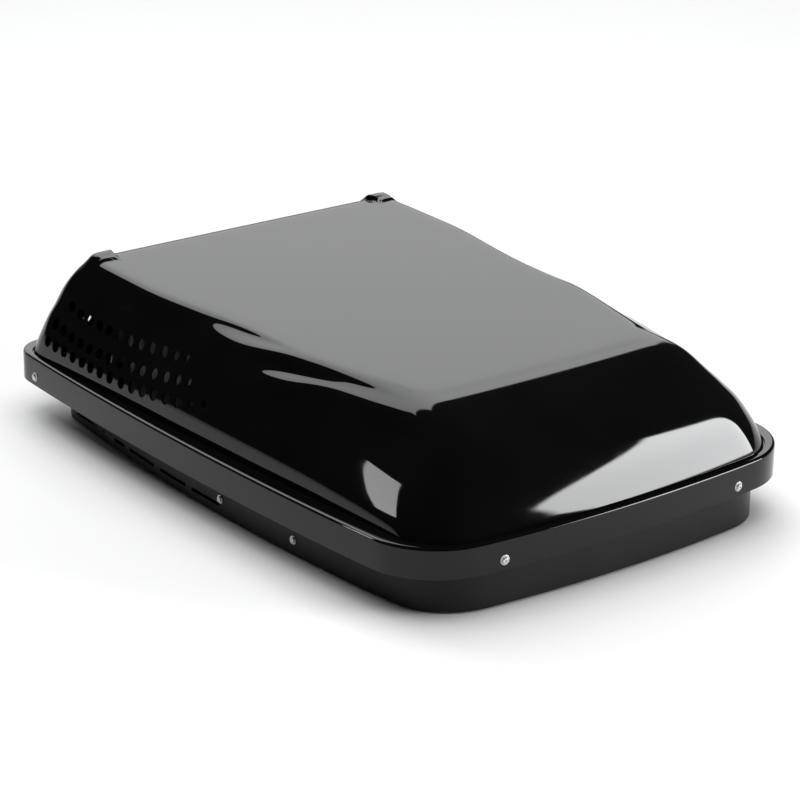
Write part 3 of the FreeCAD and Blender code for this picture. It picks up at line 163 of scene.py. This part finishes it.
M_WASHER = coated_steel("washer_nylon", (0.50, 0.50, 0.495), (0.60, 0.60, 0.595), 0.32, 0.42, 800.0, 0.12)
M_SPRING = metal("spring_steel", (0.12, 0.12, 0.13), (0.22, 0.22, 0.23), 0.3, 0.45)
M_BRIGHT = metal("bright_steel", (0.6, 0.6, 0.61), (0.75, 0.75, 0.76), 0.14, 0.24)
M_CORE = metal("laminated_core", (0.12, 0.12, 0.125), (0.24, 0.24, 0.25), 0.4, 0.55, (1, 60, 1), 30.0, 0.5)
M_COPPER = metal("copper", (0.50, 0.21, 0.12), (0.75, 0.38, 0.24), 0.22, 0.38)
M_FIN = coated_steel("fin_aluminium", (0.5, 0.505, 0.51), (0.72, 0.725, 0.73), 0.3, 0.45, 260.0, 0.2, 0.35)
M_CAN = metal("can_aluminium", (0.55, 0.55, 0.56), (0.7, 0.7, 0.71), 0.25, 0.35, (1, 30, 1), 40.0, 0.2)
M_GALV = galvanised()
M_FOAM = foam()

LOOK = {
    "shroud": M_GLOSS, "base_pan": M_PAN, "shroud_screws": M_SCREW, "shroud_washers": M_WASHER, "clip_nuts": M_SPRING,
    "pan_screws": M_ZINC, "weld_nuts": M_ZINC, "roof_gasket": M_FOAM, "support_pads": M_FOAM, "mounting_inserts": M_ZINC,
    "evaporator_tubes": M_COPPER, "evaporator_fins": M_FIN, "evaporator_end_plates": M_GALV, "evaporator_cover": M_PLASTIC,
    "blower_housing": M_PLASTIC, "blower_inlet_ring": M_PLASTIC, "blower_wheel": M_WHEEL, "motor_housing": M_MOTOR,
    "motor_end_bells": M_MOTOR, "motor_bearings": M_BRIGHT, "motor_stator": M_CORE, "motor_windings": M_COPPER,
    "motor_rotor": M_CORE, "motor_shaft": M_BRIGHT, "motor_bracket": M_GALV, "motor_strap": M_GALV, "bulkhead": M_GALV,
    "fan_shroud_plate": M_GALV, "condenser_fan": M_WHEEL, "set_screws": M_SCREW, "condenser_tubes_left": M_COPPER,
    "condenser_fins_left": M_FIN, "condenser_tubes_right": M_COPPER, "condenser_fins_right": M_FIN,
    "condenser_end_plates": M_GALV, "compressor_shell": M_COMP, "compressor_feet": M_COMP, "compressor_grommets": M_FOAM,
    "compressor_studs": M_ZINC, "terminal_cover": M_PLASTIC, "discharge_line": M_COPPER, "crossover_line": M_COPPER,
    "liquid_line": M_COPPER, "filter_drier": M_COPPER, "capillary_tube": M_COPPER, "suction_line": M_COPPER,
    "electrical_box": M_GALV, "electrical_box_cover": M_GALV, "wire_grommet": M_FOAM, "run_capacitor": M_CAN,
    "capacitor_strap": M_GALV,
}
for name, ob in N.items():
    mat = LOOK.get(name, M_GALV)
    ob.data.materials.clear()
    ob.data.materials.append(mat)

# ------------------------------------------------- the shroud's shape (mm here)
LEN, WID = 1000.0, 705.0
SKIRT_LOW, SKIRT_TOP = 59.6, 103.0
FRONT_R, REAR_R = 97.0, 50.0
SIDE_BOW, FRONT_BOW, REAR_BOW = 19.5, 26.0, 2.4
WALL, EDGE, GROOVE = 3.0, 5.0, 3.0
TOP_MID, TOP_SLOPE = 250.0, 0.024
N_REAR, N_RC, N_SIDE, N_FC, N_FRONT = 7, 6, 16, 8, 7
SY = [400, 300, 200, 100, 0, -100, -200, -300]
#ROWS_BEGIN
ROWS = [
    # half widths, heights, rear (y, z), front (y, z), rear radius, front radius
    ([328, 328, 328, 328, 327, 325, 321, 317], [103] * 8, (478, 103), (-486, 103), 44, 70),
    ([327, 327, 327, 326.5, 325.5, 323, 318.5, 313.5], [117, 117, 117, 118, 119, 120, 121, 122], (475, 118), (-479.5, 124), 48, 73),
    ([323, 323, 323, 321.5, 318.5, 315, 309.5, 303], [132, 131, 131, 135, 140, 143, 145, 146], (470, 134), (-471.5, 146), 49, 77),
    ([318, 318, 318, 316, 311.5, 306.5, 299.5, 291], [146, 142, 141, 149, 158, 163, 166, 167], (464.5, 148), (-461, 166), 46, 74),
    ([311.5, 312, 312, 310.5, 306, 299.5, 290.5, 279.5], [160, 154, 152, 162, 171, 176, 179, 180], (457, 161), (-450, 183), 38, 72),
    ([303.5, 304, 304.2, 304, 302, 293.5, 281.5, 269.5], [177, 169, 168, 175, 182, 187, 191, 191], (447, 177), (-437, 197), 32, 67),
    ([299, 299.4, 299.5, 299, 297, 288.5, 274, 260], [191, 183, 182, 188, 193, 200, 202, 201], (442, 191), (-421, 209), 32, 60),
    ([294.6, 294.8, 294.8, 293.8, 291, 281, 266, 251], [205, 198, 197, 200, 204, 215.5, 215, 212], (436, 205), (-402, 219), 32, 53),
    ([290, 290, 290, 287.5, 285, 270, 257, 241.5], [219, 213, 212, 213, 214.5, 219.5, 227, 223], (424, 220), (-382, 227), 28, 47),
    ([285, 285.7, 285.7, 280, 278, 260, 247, 230.5], [233, 228, 227.5, 225.5, 226, 224, 230.5, 229.5], (410, 234), (-362, 233), 24, 43),
    ([280, 281.5, 281, 274, 270.5, 255, 239, 220.5], [245, 240.5, 240, 234.5, 235.5, 241, 234.5, 234], (396, 247), (-344, 237), 20, 40),
    ([276.5, 278.8, 277.8, 268.5, 260, 249, 235, 214.5], [250.5, 246.5, 245.5, 240.5, 239.5, 244.5, 238.5, 236.5], (389, 252), (-335.5, 238.4), 19, 39),
    ([272, 275.5, 274, 263, 250, 244, 230, 209], [255, 251, 249.5, 245.5, 243, 246, 241.5, 238.5], (381, 255.5), (-327, 239.8), 18, 38),
    ([265, 270.5, 268.5, 256, 246.5, 239, 224, 200], [258.5, 255, 253, 250.3, 247.5, 247, 243.8, 241], (373, 257.5), (-318.5, 241.5), 17, 38),
    ([256, 262.5, 260.5, 248, 240, 232, 215, 192], None, (364, None), (-310, None), 16, 38),
    ([236, 242, 239, 226, 220, 211, 195, 172], None, (340, None), (-290, None), 14, 36),
]
#ROWS_END


def lerp(table, y):
    ys = [p[0] for p in table]
    vs = [p[1] for p in table]
    n = len(ys)

    def slope(i):
        if i == n - 1:
            return (vs[-1] - vs[-2]) / (ys[-1] - ys[-2])
        if i <= 0:
            return 0.0 if n > 2 else (vs[-1] - vs[0]) / (ys[-1] - ys[0])
        a = (vs[i] - vs[i - 1]) / (ys[i] - ys[i - 1])
        b = (vs[i + 1] - vs[i]) / (ys[i + 1] - ys[i])
        if a * b <= 0:
            return 0.0
        return 2 * a * b / (a + b)

    if y >= ys[0]:
        return vs[0]
    if y <= ys[-1]:
        d = y - ys[-1]
        return vs[-1] + (slope(n - 1) * d - 0.0008 * d * d * max(0.0, min(1.0, (slope(n - 1) - 0.05) / 0.1)) if n > 2 else 0.0)
    k = 0
    while y < ys[k + 1]:
        k += 1
    w = ys[k + 1] - ys[k]
    t = (y - ys[k]) / w
    t2, t3 = t * t, t * t * t
    return ((2 * t3 - 3 * t2 + 1) * vs[k] + (t3 - 2 * t2 + t) * w * slope(k)
            + (-2 * t3 + 3 * t2) * vs[k + 1] + (t3 - t2) * w * slope(k + 1))


def half_ring(side_x, rear, front, rr, rf):
    pts = []
    yr, yf = rear - rr, front + rf
    xr = side_x(yr) - rr
    for i in range(N_REAR):
        pts.append((-xr * i / N_REAR, rear, "r", 0.0))
    for i in range(N_RC):
        a = math.pi / 2 * i / N_RC
        pts.append((-(xr + rr * math.sin(a)), yr + rr * math.cos(a), "rc", i / N_RC))
    for i in range(N_SIDE):
        y = yr + (yf - yr) * i / N_SIDE
        pts.append((-side_x(y), y, "s", 0.0))
    xf = side_x(yf) - rf
    for i in range(N_FC):
        a = math.pi / 2 * i / N_FC
        pts.append((-(xf + rf * math.cos(a)), yf - rf * math.sin(a), "fc", i / N_FC))
    for i in range(N_FRONT + 1):
        pts.append((-xf * (1 - i / N_FRONT), front, "f", 0.0))
    return pts


def mirror(left):
    right = [(-p[0], p[1], p[2]) for p in left[1:-1]]
    return np.array(left + right[::-1], dtype=float)


def bow(x, y):
    b = FRONT_BOW if y < 0 else REAR_BOW
    k = 1 - (b / (LEN / 2)) * (x / (WID / 2)) ** 2
    f = min(1.0, max(0.0, (abs(y) - 180.0) / 260.0))
    return y * (1 - (1 - k) * f)


def band_ring(inset, z):
    hw, hl = WID / 2 - inset, LEN / 2

    def sx(y):
        return hw - SIDE_BOW * (y / hl) ** 2
    left = half_ring(sx, hl - inset, -hl + inset, REAR_R - inset, FRONT_R - inset)
    return mirror([(x, bow(x, y), z) for x, y, k, t in left])


def plane_z(y):
    return TOP_MID + TOP_SLOPE * y


def dome_ring(j, grow=0.0):
    row = ROWS[j]
    tab = list(zip(SY, row[0]))

    def sx(y):
        return lerp(tab, y) + grow
    left = half_ring(sx, row[2][0] + grow, row[3][0] - grow, row[4] + grow, row[5] + grow)
    out = []
    for x, y, kind, t in left:
        yb = bow(x, y)
        hs, rear, front = row[1], row[2], row[3]
        if hs is None:
            z = plane_z(yb)
        elif kind == "r":
            z = rear[1]
        elif kind == "f":
            z = front[1]
        elif kind == "rc":
            w = 0.5 + 0.5 * math.cos(math.pi * t)
            z = rear[1] * w + hs[0] * (1 - w)
        elif kind == "fc":
            w = 0.5 - 0.5 * math.cos(math.pi * t)
            z = front[1] * w + hs[-1] * (1 - w)
        else:
            z = lerp(list(zip(SY, hs)), yb)
        out.append((x, yb, z))
    return mirror(out)


def flat(ring, z):
    r = ring.copy()
    r[:, 2] = z
    return r


def periodic_basis(n, per):
    """(n*per, n) matrix of the uniform periodic cubic B-spline"""
    m = np.zeros((n * per, n))
    for k in range(n * per):
        i, t = k // per, (k % per) / per
        w = ((1 - t) ** 3 / 6, (3 * t ** 3 - 6 * t ** 2 + 4) / 6, (-3 * t ** 3 + 3 * t ** 2 + 3 * t + 1) / 6, t ** 3 / 6)
        for d in range(4):
            m[k, (i + d - 1) % n] += w[d]
    return m


def clamped_basis(m, degree, per):
    inner = m - degree - 1
    spans = inner + 1
    knots = [0.0] * (degree + 1) + [float(i) for i in range(1, spans)] + [float(spans)] * (degree + 1)
    ts = np.linspace(0, spans, spans * per + 1)
    out = np.zeros((len(ts), m))
    for a, t in enumerate(ts):
        t = min(t, spans - 1e-9)
        nb = [1.0 if knots[i] <= t < knots[i + 1] else 0.0 for i in range(len(knots) - 1)]
        for d in range(1, degree + 1):
            for i in range(len(knots) - 1 - d):
                x = 0.0
                if knots[i + d] > knots[i]:
                    x += (t - knots[i]) / (knots[i + d] - knots[i]) * nb[i]
                if knots[i + d + 1] > knots[i + 1]:
                    x += (knots[i + d + 1] - t) / (knots[i + d + 1] - knots[i + 1]) * nb[i + 1]
                nb[i] = x
        out[a] = nb[:m]
    return out


def surf(rings, degree, pu, pv):
    g = np.stack(rings)                      # rows, columns, xyz
    degree = min(degree, len(rings) - 1)
    bu = periodic_basis(g.shape[1], pu)
    bv = clamped_basis(g.shape[0], degree, pv)
    return np.einsum("va,abk,ub->vuk", bv, g, bu)


def grid_normals(g):
    du = np.roll(g, -1, 1) - np.roll(g, 1, 1)
    dv = np.gradient(g, axis=0)
    n = np.cross(dv, du)
    n /= np.linalg.norm(n, axis=2, keepdims=True) + 1e-12
    return n


PU = 10
PV = 10
cage = [dome_ring(j) for j in range(len(ROWS))]
cg = np.stack(cage)
cn = grid_normals(cg)
if cn[5, 20, 0] > 0:
    cn = -cn
top_n = np.array([0, -TOP_SLOPE, 1.0])
top_n /= np.linalg.norm(top_n)
inner = cg - cn * WALL
inner[-2:] = cg[-2:] - top_n * WALL
inner[0] = flat(dome_ring(0, -WALL), SKIRT_TOP)

outer_strips = [
    surf([band_ring(0, SKIRT_LOW), band_ring(0, SKIRT_TOP - EDGE)], 1, PU, 1),
    surf([band_ring(0, SKIRT_TOP - EDGE), band_ring(0, SKIRT_TOP - 0.4), band_ring(EDGE, SKIRT_TOP)], 2, PU, 8),
    surf([band_ring(EDGE, SKIRT_TOP), flat(dome_ring(0, GROOVE), SKIRT_TOP)], 1, PU, 2),
    surf([flat(dome_ring(0, GROOVE), SKIRT_TOP), flat(dome_ring(0, GROOVE - 0.7), SKIRT_TOP - 3)], 1, PU, 1),
    surf([flat(dome_ring(0, GROOVE - 0.7), SKIRT_TOP - 3), flat(dome_ring(0, 0.7), SKIRT_TOP - 3)], 1, PU, 1),
    surf([flat(dome_ring(0, 0.7), SKIRT_TOP - 3), cage[0]], 1, PU, 1),
    surf(cage, 3, PU, PV),
]
inner_strips = [
    surf([band_ring(WALL, SKIRT_LOW), band_ring(WALL, SKIRT_TOP - WALL)], 1, PU, 1),
    surf([band_ring(WALL, SKIRT_TOP - WALL), flat(dome_ring(0, GROOVE + 2.4), SKIRT_TOP - WALL)], 1, PU, 1),
    surf([flat(dome_ring(0, GROOVE + 2.4), SKIRT_TOP - WALL), flat(dome_ring(0, GROOVE + 1.4), SKIRT_TOP - WALL - 3)], 1, PU, 1),
    surf([flat(dome_ring(0, GROOVE + 1.4), SKIRT_TOP - WALL - 3), flat(dome_ring(0, -WALL + 0.6), SKIRT_TOP - WALL - 3)], 1, PU, 1),
    surf([flat(dome_ring(0, -WALL + 0.6), SKIRT_TOP - WALL - 3), inner[0]], 1, PU, 1),
    surf(list(inner), 3, PU, 3),
]


def smooth(a, b, t):
    t = np.clip((t - a) / (b - a), 0, 1)
    return t * t * (3 - 2 * t)


def horn_lift(x, y):
    """height of the raised cap at the rear corners of the top, lower at its front edge"""
    ax = np.abs(x)
    # crisp inner and front sides, soft run-out to the flank and the tail
    u = (ax - 236.0) * 0.97 + (y - 352.0) * 0.24
    v = (y - 345.0) * 0.98 - (ax - 250.0) * 0.12
    inn = smooth(0.0, 4.6, u)
    fro = smooth(0.0, 4.6, v)
    out = 1 - smooth(28.0, 46.0, ax - 236.0)
    back = 1 - smooth(20.0, 38.0, y - 352.0)
    return inn * fro * out * back * (0.36 + 0.64 * smooth(350.0, 376.0, y))


HORN = 8.0


def build_shroud():
    verts, faces = [], []

    def add_strip(g, flip):
        base = len(verts)
        m, n = g.shape[:2]
        verts.extend(map(tuple, g.reshape(-1, 3)))
        for a in range(m - 1):
            for i in range(n):
                j = (i + 1) % n
                q = (base + a * n + i, base + a * n + j, base + (a + 1) * n + j, base + (a + 1) * n + i)
                faces.append(q[::-1] if flip else q)
        return base, m, n

    # outer skin, with the top filled by rings drawn in to a spine
    o = [s.copy() for s in outer_strips]
    last = o[-1][-1]
    rings = [last]
    steps = 56
    for k in range(1, steps + 1):
        s = 1 - (k / steps) ** 1.7 * 0.985
        c = last.copy()
        c[:, 0] = last[:, 0] * s
        yc = np.clip(last[:, 1], -120, 200)
        c[:, 1] = yc + (last[:, 1] - yc) * s
        c[:, 2] = plane_z(c[:, 1])
        rings.append(c)
    cap = np.stack(rings)
    dome = o[-1]
    for g in (dome, cap):
        lift = horn_lift(g[:, :, 0], g[:, :, 1]) * smooth(225, 245, g[:, :, 2])
        g[:, :, 2] += lift * HORN
        np.minimum(g[:, :, 2], 266.2, out=g[:, :, 2])
    for s in o:
        add_strip(s, False)
    b, m, n = add_strip(cap, False)
    faces.append(tuple(b + (m - 1) * n + i for i in range(n)))
    for s in inner_strips:
        add_strip(s, True)
    lasti = inner_strips[-1][-1]
    b = len(verts)
    n = len(lasti)
    verts.extend(map(tuple, lasti))
    faces.append(tuple(b + i for i in range(n))[::-1])
    add_strip(surf([band_ring(0, SKIRT_LOW), band_ring(WALL, SKIRT_LOW)], 1, PU, 1), True)
    me = bpy.data.meshes.new("shroud_skin")
    me.from_pydata([(x * MM, y * MM, z * MM) for x, y, z in verts], [], faces)
    bm = bmesh.new()
    bm.from_mesh(me)
    bmesh.ops.remove_doubles(bm, verts=bm.verts, dist=2e-6)
    bmesh.ops.recalc_face_normals(bm, faces=bm.faces)
    bm.to_mesh(me)
    bm.free()
    ob = bpy.data.objects.new("shroud_skin", me)
    bpy.context.collection.objects.link(ob)
    return ob


#VENTS_BEGIN
VENT_SIDE = [
    [(381, 188), (355, 183), (330, 181), (305, 180), (280, 179), (254, 179), (226, 180), (199, 182), (171, 185), (141, 188), (113, 191), (88, 194)],
    [(406, 156), (383, 153), (359, 149), (335, 147), (310, 146), (284, 146), (258, 146), (231, 148), (204, 149), (177, 152), (148, 156), (119, 160), (91, 164), (66, 168)],
    [(412, 130), (390, 128), (366, 127), (342, 126), (317, 125), (294, 124), (269, 124), (243, 124), (214, 125), (187, 126), (161, 128), (134, 131), (105, 134), (77, 137), (48, 142), (21, 151)],
]
VENT_REAR = [(247, 20, 128), (236, 19, 156), (221, 18, 188)]
#VENTS_END

dome_hi = outer_strips[-1]
dn = grid_normals(dome_hi)
if dn[20, dn.shape[1] // 4, 0] > 0:
    dn = -dn


def vent_cutters():
    """centre, outward normal and radius of every outlet"""
    out = []
    half = dome_hi.shape[1] // 2 + 1
    P = dome_hi[:, :half]
    Q = dn[:, :half]
    side = P[:, :, 1] < 436
    for row in VENT_SIDE:
        for i, (y, z) in enumerate(row):
            e = (P[:, :, 1] - y) ** 2 + (P[:, :, 2] - z) ** 2 + np.where((P[:, :, 0] < -200), 0, 1e6)
            a, b = np.unravel_index(np.argmin(e), e.shape)
            p, n = P[a, b].copy(), Q[a, b].copy()
            r = 8.4
            if i == len(row) - 2:
                r = 6.8
            if i == len(row) - 1:
                r = 5.2
            p[1] = y
            p[2] = z
            for s in (1, -1):
                out.append((np.array([p[0] * s, p[1], p[2]]), np.array([n[0] * s, n[1], n[2]]), r))
    for span, count, z in VENT_REAR:
        for i in range(count):
            x = -span + 2 * span * i / (count - 1.0)
            e = (P[:, :, 0] + abs(x)) ** 2 + (P[:, :, 2] - z) ** 2 + np.where(P[:, :, 1] > 380, 0, 1e6)
            a, b = np.unravel_index(np.argmin(e), e.shape)
            p, n = P[a, b].copy(), Q[a, b].copy()
            p[2] = z
            s = 1 if x <= 0 else -1
            out.append((np.array([x, p[1], p[2]]), np.array([n[0] * s, n[1], n[2]]), 8.4))
    return out


def cutter_mesh(items, screws):
    bm = bmesh.new()
    seg = 40

    def rod(p, n, r, lo, hi):
        z = Vector(n).normalized()
        x = z.orthogonal().normalized()
        y = z.cross(x)
        rings = []
        for d in (lo, hi):
            rings.append([bm.verts.new((Vector(p) + z * d + x * r * math.cos(2 * math.pi * k / seg) + y * r * math.sin(2 * math.pi * k / seg)) * MM) for k in range(seg)])
        for k in range(seg):
            j = (k + 1) % seg
            bm.faces.new((rings[0][k], rings[0][j], rings[1][j], rings[1][k]))
        bm.faces.new(rings[0][::-1])
        bm.faces.new(rings[1])
    for p, n, r in items:
        rod(p, n, r, -13, 9)
    for p, n in screws:
        rod(p, n, 3.3, -6, 6)
    bmesh.ops.recalc_face_normals(bm, faces=bm.faces)
    me = bpy.data.meshes.new("cutters")
    bm.to_mesh(me)
    bm.free()
    ob = bpy.data.objects.new("cutters", me)
    bpy.context.collection.objects.link(ob)
    return ob


def screw_spots():
    out = []
    ring = surf([band_ring(0, 73.3), band_ring(0, 74.3)], 1, 40, 1)[0]
    n = len(ring)
    for coord, where in ((204.7, "front"), (426.0, "side")):
        best = None
        for i in range(n):
            p = ring[i]
            if p[0] > 0 or (where == "front" and p[1] > -380) or (where == "side" and abs(p[1]) > 440):
                continue
            e = abs(-p[0] - coord) if where == "front" else abs(p[1] - coord)
            if best is None or e < best[0]:
                best = (e, i)
        i = best[1]
        p = ring[i]
        t = ring[(i + 1) % n] - ring[i - 1]
        nn = np.array([t[1], -t[0], 0])
        nn /= np.linalg.norm(nn)
        if nn[0] * p[0] + nn[1] * p[1] < 0:
            nn = -nn
        for s in (1, -1):
            out.append((np.array([p[0] * s, p[1], 73.3]), np.array([nn[0] * s, nn[1], 0])))
    return out


skin_ob = build_shroud()
SPOTS = screw_spots()
cut_ob = cutter_mesh(vent_cutters(), SPOTS)
md = skin_ob.modifiers.new("vents", "BOOLEAN")
md.operation = "DIFFERENCE"
md.solver = "EXACT"
md.object = cut_ob
dg = bpy.context.evaluated_depsgraph_get()
me = bpy.data.meshes.new_from_object(skin_ob.evaluated_get(dg))
skin_ob.modifiers.clear()
skin_ob.data = me
bpy.data.objects.remove(cut_ob)
bm = bmesh.new()
bm.from_mesh(me)
bmesh.ops.remove_doubles(bm, verts=bm.verts, dist=1e-6)
bmesh.ops.dissolve_degenerate(bm, edges=bm.edges, dist=1e-6)
bm.to_mesh(me)
bm.free()
me.materials.clear()
me.materials.append(M_GLOSS)
for p in me.polygons:
    p.use_smooth = True
    p.material_index = 0
me.set_sharp_from_angle(angle=math.radians(28))
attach(skin_ob, "chassis")
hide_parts("shroud")

# ------------------------------------------------------------------ stage
def stage_plane():
    bm = bmesh.new()
    s = 30.0
    vs = [bm.verts.new((x, y, 0)) for x, y in ((-s, -s), (s, -s), (s, s), (-s, s))]
    bm.faces.new(vs)
    me = bpy.data.meshes.new("studio_floor")
    bm.to_mesh(me)
    bm.free()
    ob = bpy.data.objects.new("studio_floor", me)
    bpy.context.collection.objects.link(ob)
    m, nt, b = new_mat("pale_floor")
    n1 = noise(nt, 0.8, 3.0)
    nt.links.new(ramp(nt, n1.outputs["Fac"], (0.86, 0.86, 0.86), (0.875, 0.875, 0.875)), b.inputs["Base Color"])
    b.inputs["Roughness"].default_value = 0.95
    b.inputs["Specular IOR Level"].default_value = 0.1
    me.materials.append(m)
    return ob


floor = stage_plane()

sc = bpy.context.scene
sc.view_settings.view_transform = "Standard"
sc.view_settings.look = "None"

world = bpy.data.worlds.new("studio")
sc.world = world
world.use_nodes = True
wt = world.node_tree
wt.nodes.clear()
w_out = wt.nodes.new("ShaderNodeOutputWorld")
bg = wt.nodes.new("ShaderNodeBackground")
wt.links.new(bg.outputs[0], w_out.inputs[0])
tc = wt.nodes.new("ShaderNodeTexCoord")
sep = wt.nodes.new("ShaderNodeSeparateXYZ")
wt.links.new(tc.outputs["Generated"], sep.inputs[0])


def wmath(op, a, b=None):
    n = wt.nodes.new("ShaderNodeMath")
    n.operation = op
    for k, v in enumerate((a, b)):
        if v is None:
            continue
        if isinstance(v, (int, float)):
            n.inputs[k].default_value = v
        else:
            wt.links.new(v, n.inputs[k])
    return n.outputs[0]


def wstep(src, a, b, lo=0.0, hi=1.0):
    r = wt.nodes.new("ShaderNodeMapRange")
    r.interpolation_type = "SMOOTHSTEP"
    r.inputs["From Min"].default_value = a
    r.inputs["From Max"].default_value = b
    r.inputs["To Min"].default_value = lo
    r.inputs["To Max"].default_value = hi
    wt.links.new(src, r.inputs["Value"])
    return r.outputs["Result"]


DEG = math.pi / 180
el = wmath("MULTIPLY", wmath("ARCSINE", sep.outputs["Z"]), 1 / DEG)
az = wmath("MULTIPLY", wmath("ARCTAN2", sep.outputs["Y"], sep.outputs["X"]), 1 / DEG)


def softbox(a0, a1, e0, e1, soft, power, bottom=1.0, peak=None, sill=None):
    """a softbox on the studio wall between azimuths a0..a1 and elevations e0..e1.

    peak = (azimuth, fall to the left, fall to the right) gives it a roof-shaped top edge,
    sill = (azimuth, rise) lifts its lower edge to the left of that azimuth"""
    mid = (a0 + a1) / 2
    d = wmath("SUBTRACT", az, mid)
    # wrap to -180..180
    d = wmath("SUBTRACT", wmath("FLOORED_MODULO", wmath("ADD", d, 180.0), 360.0), 180.0)
    e = el
    top = el
    if peak:
        off = wmath("SUBTRACT", d, peak[0] - mid)
        left = wmath("MULTIPLY", wmath("MAXIMUM", wmath("MULTIPLY", off, -1.0), 0.0), peak[1])
        top = wmath("ADD", wmath("ADD", el, left), wmath("MULTIPLY", wmath("MAXIMUM", off, 0.0), peak[2]))
    hw = (a1 - a0) / 2
    m = wmath("MULTIPLY", wstep(d, -hw - soft, -hw), wstep(d, hw, hw + soft, 1.0, 0.0))
    low = el
    if sill:
        low = wmath("SUBTRACT", el, wmath("MULTIPLY", wmath("MAXIMUM", wmath("MULTIPLY", wmath("SUBTRACT", d, sill[0] - mid), -1.0), 0.0), sill[1]))
    m = wmath("MULTIPLY", m, wstep(low, e0 - soft, e0))
    m = wmath("MULTIPLY", m, wstep(top, e1, e1 + soft, 1.0, 0.0))
    if bottom != 1.0:
        m = wmath("MULTIPLY", m, wstep(e, e0, e1, bottom, 1.0))
    return wmath("MULTIPLY", m, power)


total = None
for box_ in (
    # azimuth range, elevation range, edge softness, power, relative power at its lower edge
    (38, 102, 6, 54, 1.5, 3.9, 0.35, (61, 0.9, 0.0), None),              # panel behind the unit, mirrored in the flat top
    (-58, -26, 1, 23, 1.5, 22.0, 0.8, (-43, 1.05, 0.75), (-53, 1.2)),    # box at the front right, mirrored in the nose
):
    s = softbox(*box_)
    total = s if total is None else wmath("ADD", total, s)
total = wmath("ADD", total, 0.02)
wt.links.new(total, bg.inputs["Strength"])
bg.inputs["Color"].default_value = (0.985, 0.992, 1.0, 1)


def area(name, loc, target, size, power, glossy=True, spread=180):
    l = bpy.data.lights.new(name, "AREA")
    l.shape = "RECTANGLE"
    l.size, l.size_y = size
    l.energy = power
    l.spread = math.radians(spread)
    o = bpy.data.objects.new(name, l)
    bpy.context.collection.objects.link(o)
    o.location = loc
    o.rotation_euler = (Vector(target) - Vector(loc)).to_track_quat("-Z", "Y").to_euler()
    o.visible_glossy = glossy
    return o


area("overhead", (0, 0, 5.0), (0, 0, 0), (7.0, 7.0), 340.0, glossy=False)

# small panel close to the left front corner, seen only as a mirror image in the gloss
corner = area("corner_panel", (-0.712, 0.002, 0.345), (-0.712, -1.0, 0.345), (0.128, 0.285), 0.95)
corner.rotation_euler = Matrix(((-0.874, 0.486, 0.0), (0.0, 0.0, 1.0), (0.486, 0.874, 0.0))).to_euler()
corner.visible_camera = False
corner.visible_diffuse = False
corner.visible_transmission = False

# ------------------------------------------------------------------ camera
cam_d = bpy.data.cameras.new("camera")
cam_d.sensor_width = 36.0
cam_d.lens = 130.79
cam_d.clip_end = 200.0
cam = bpy.data.objects.new("camera", cam_d)
bpy.context.collection.objects.link(cam)
rgt = Vector((0.78830406, -0.61515286, 0.0127935))
upv = Vector((0.20949206, 0.28789358, 0.93446796))
fwd = Vector((0.5785238, 0.73396475, -0.35581731))
M = Matrix((
    (rgt.x, upv.x, -fwd.x, -2.3955),
    (rgt.y, upv.y, -fwd.y, -3.0515),
    (rgt.z, upv.z, -fwd.z, 1.5697),
    (0, 0, 0, 1)))
cam.matrix_world = M
sc.camera = cam
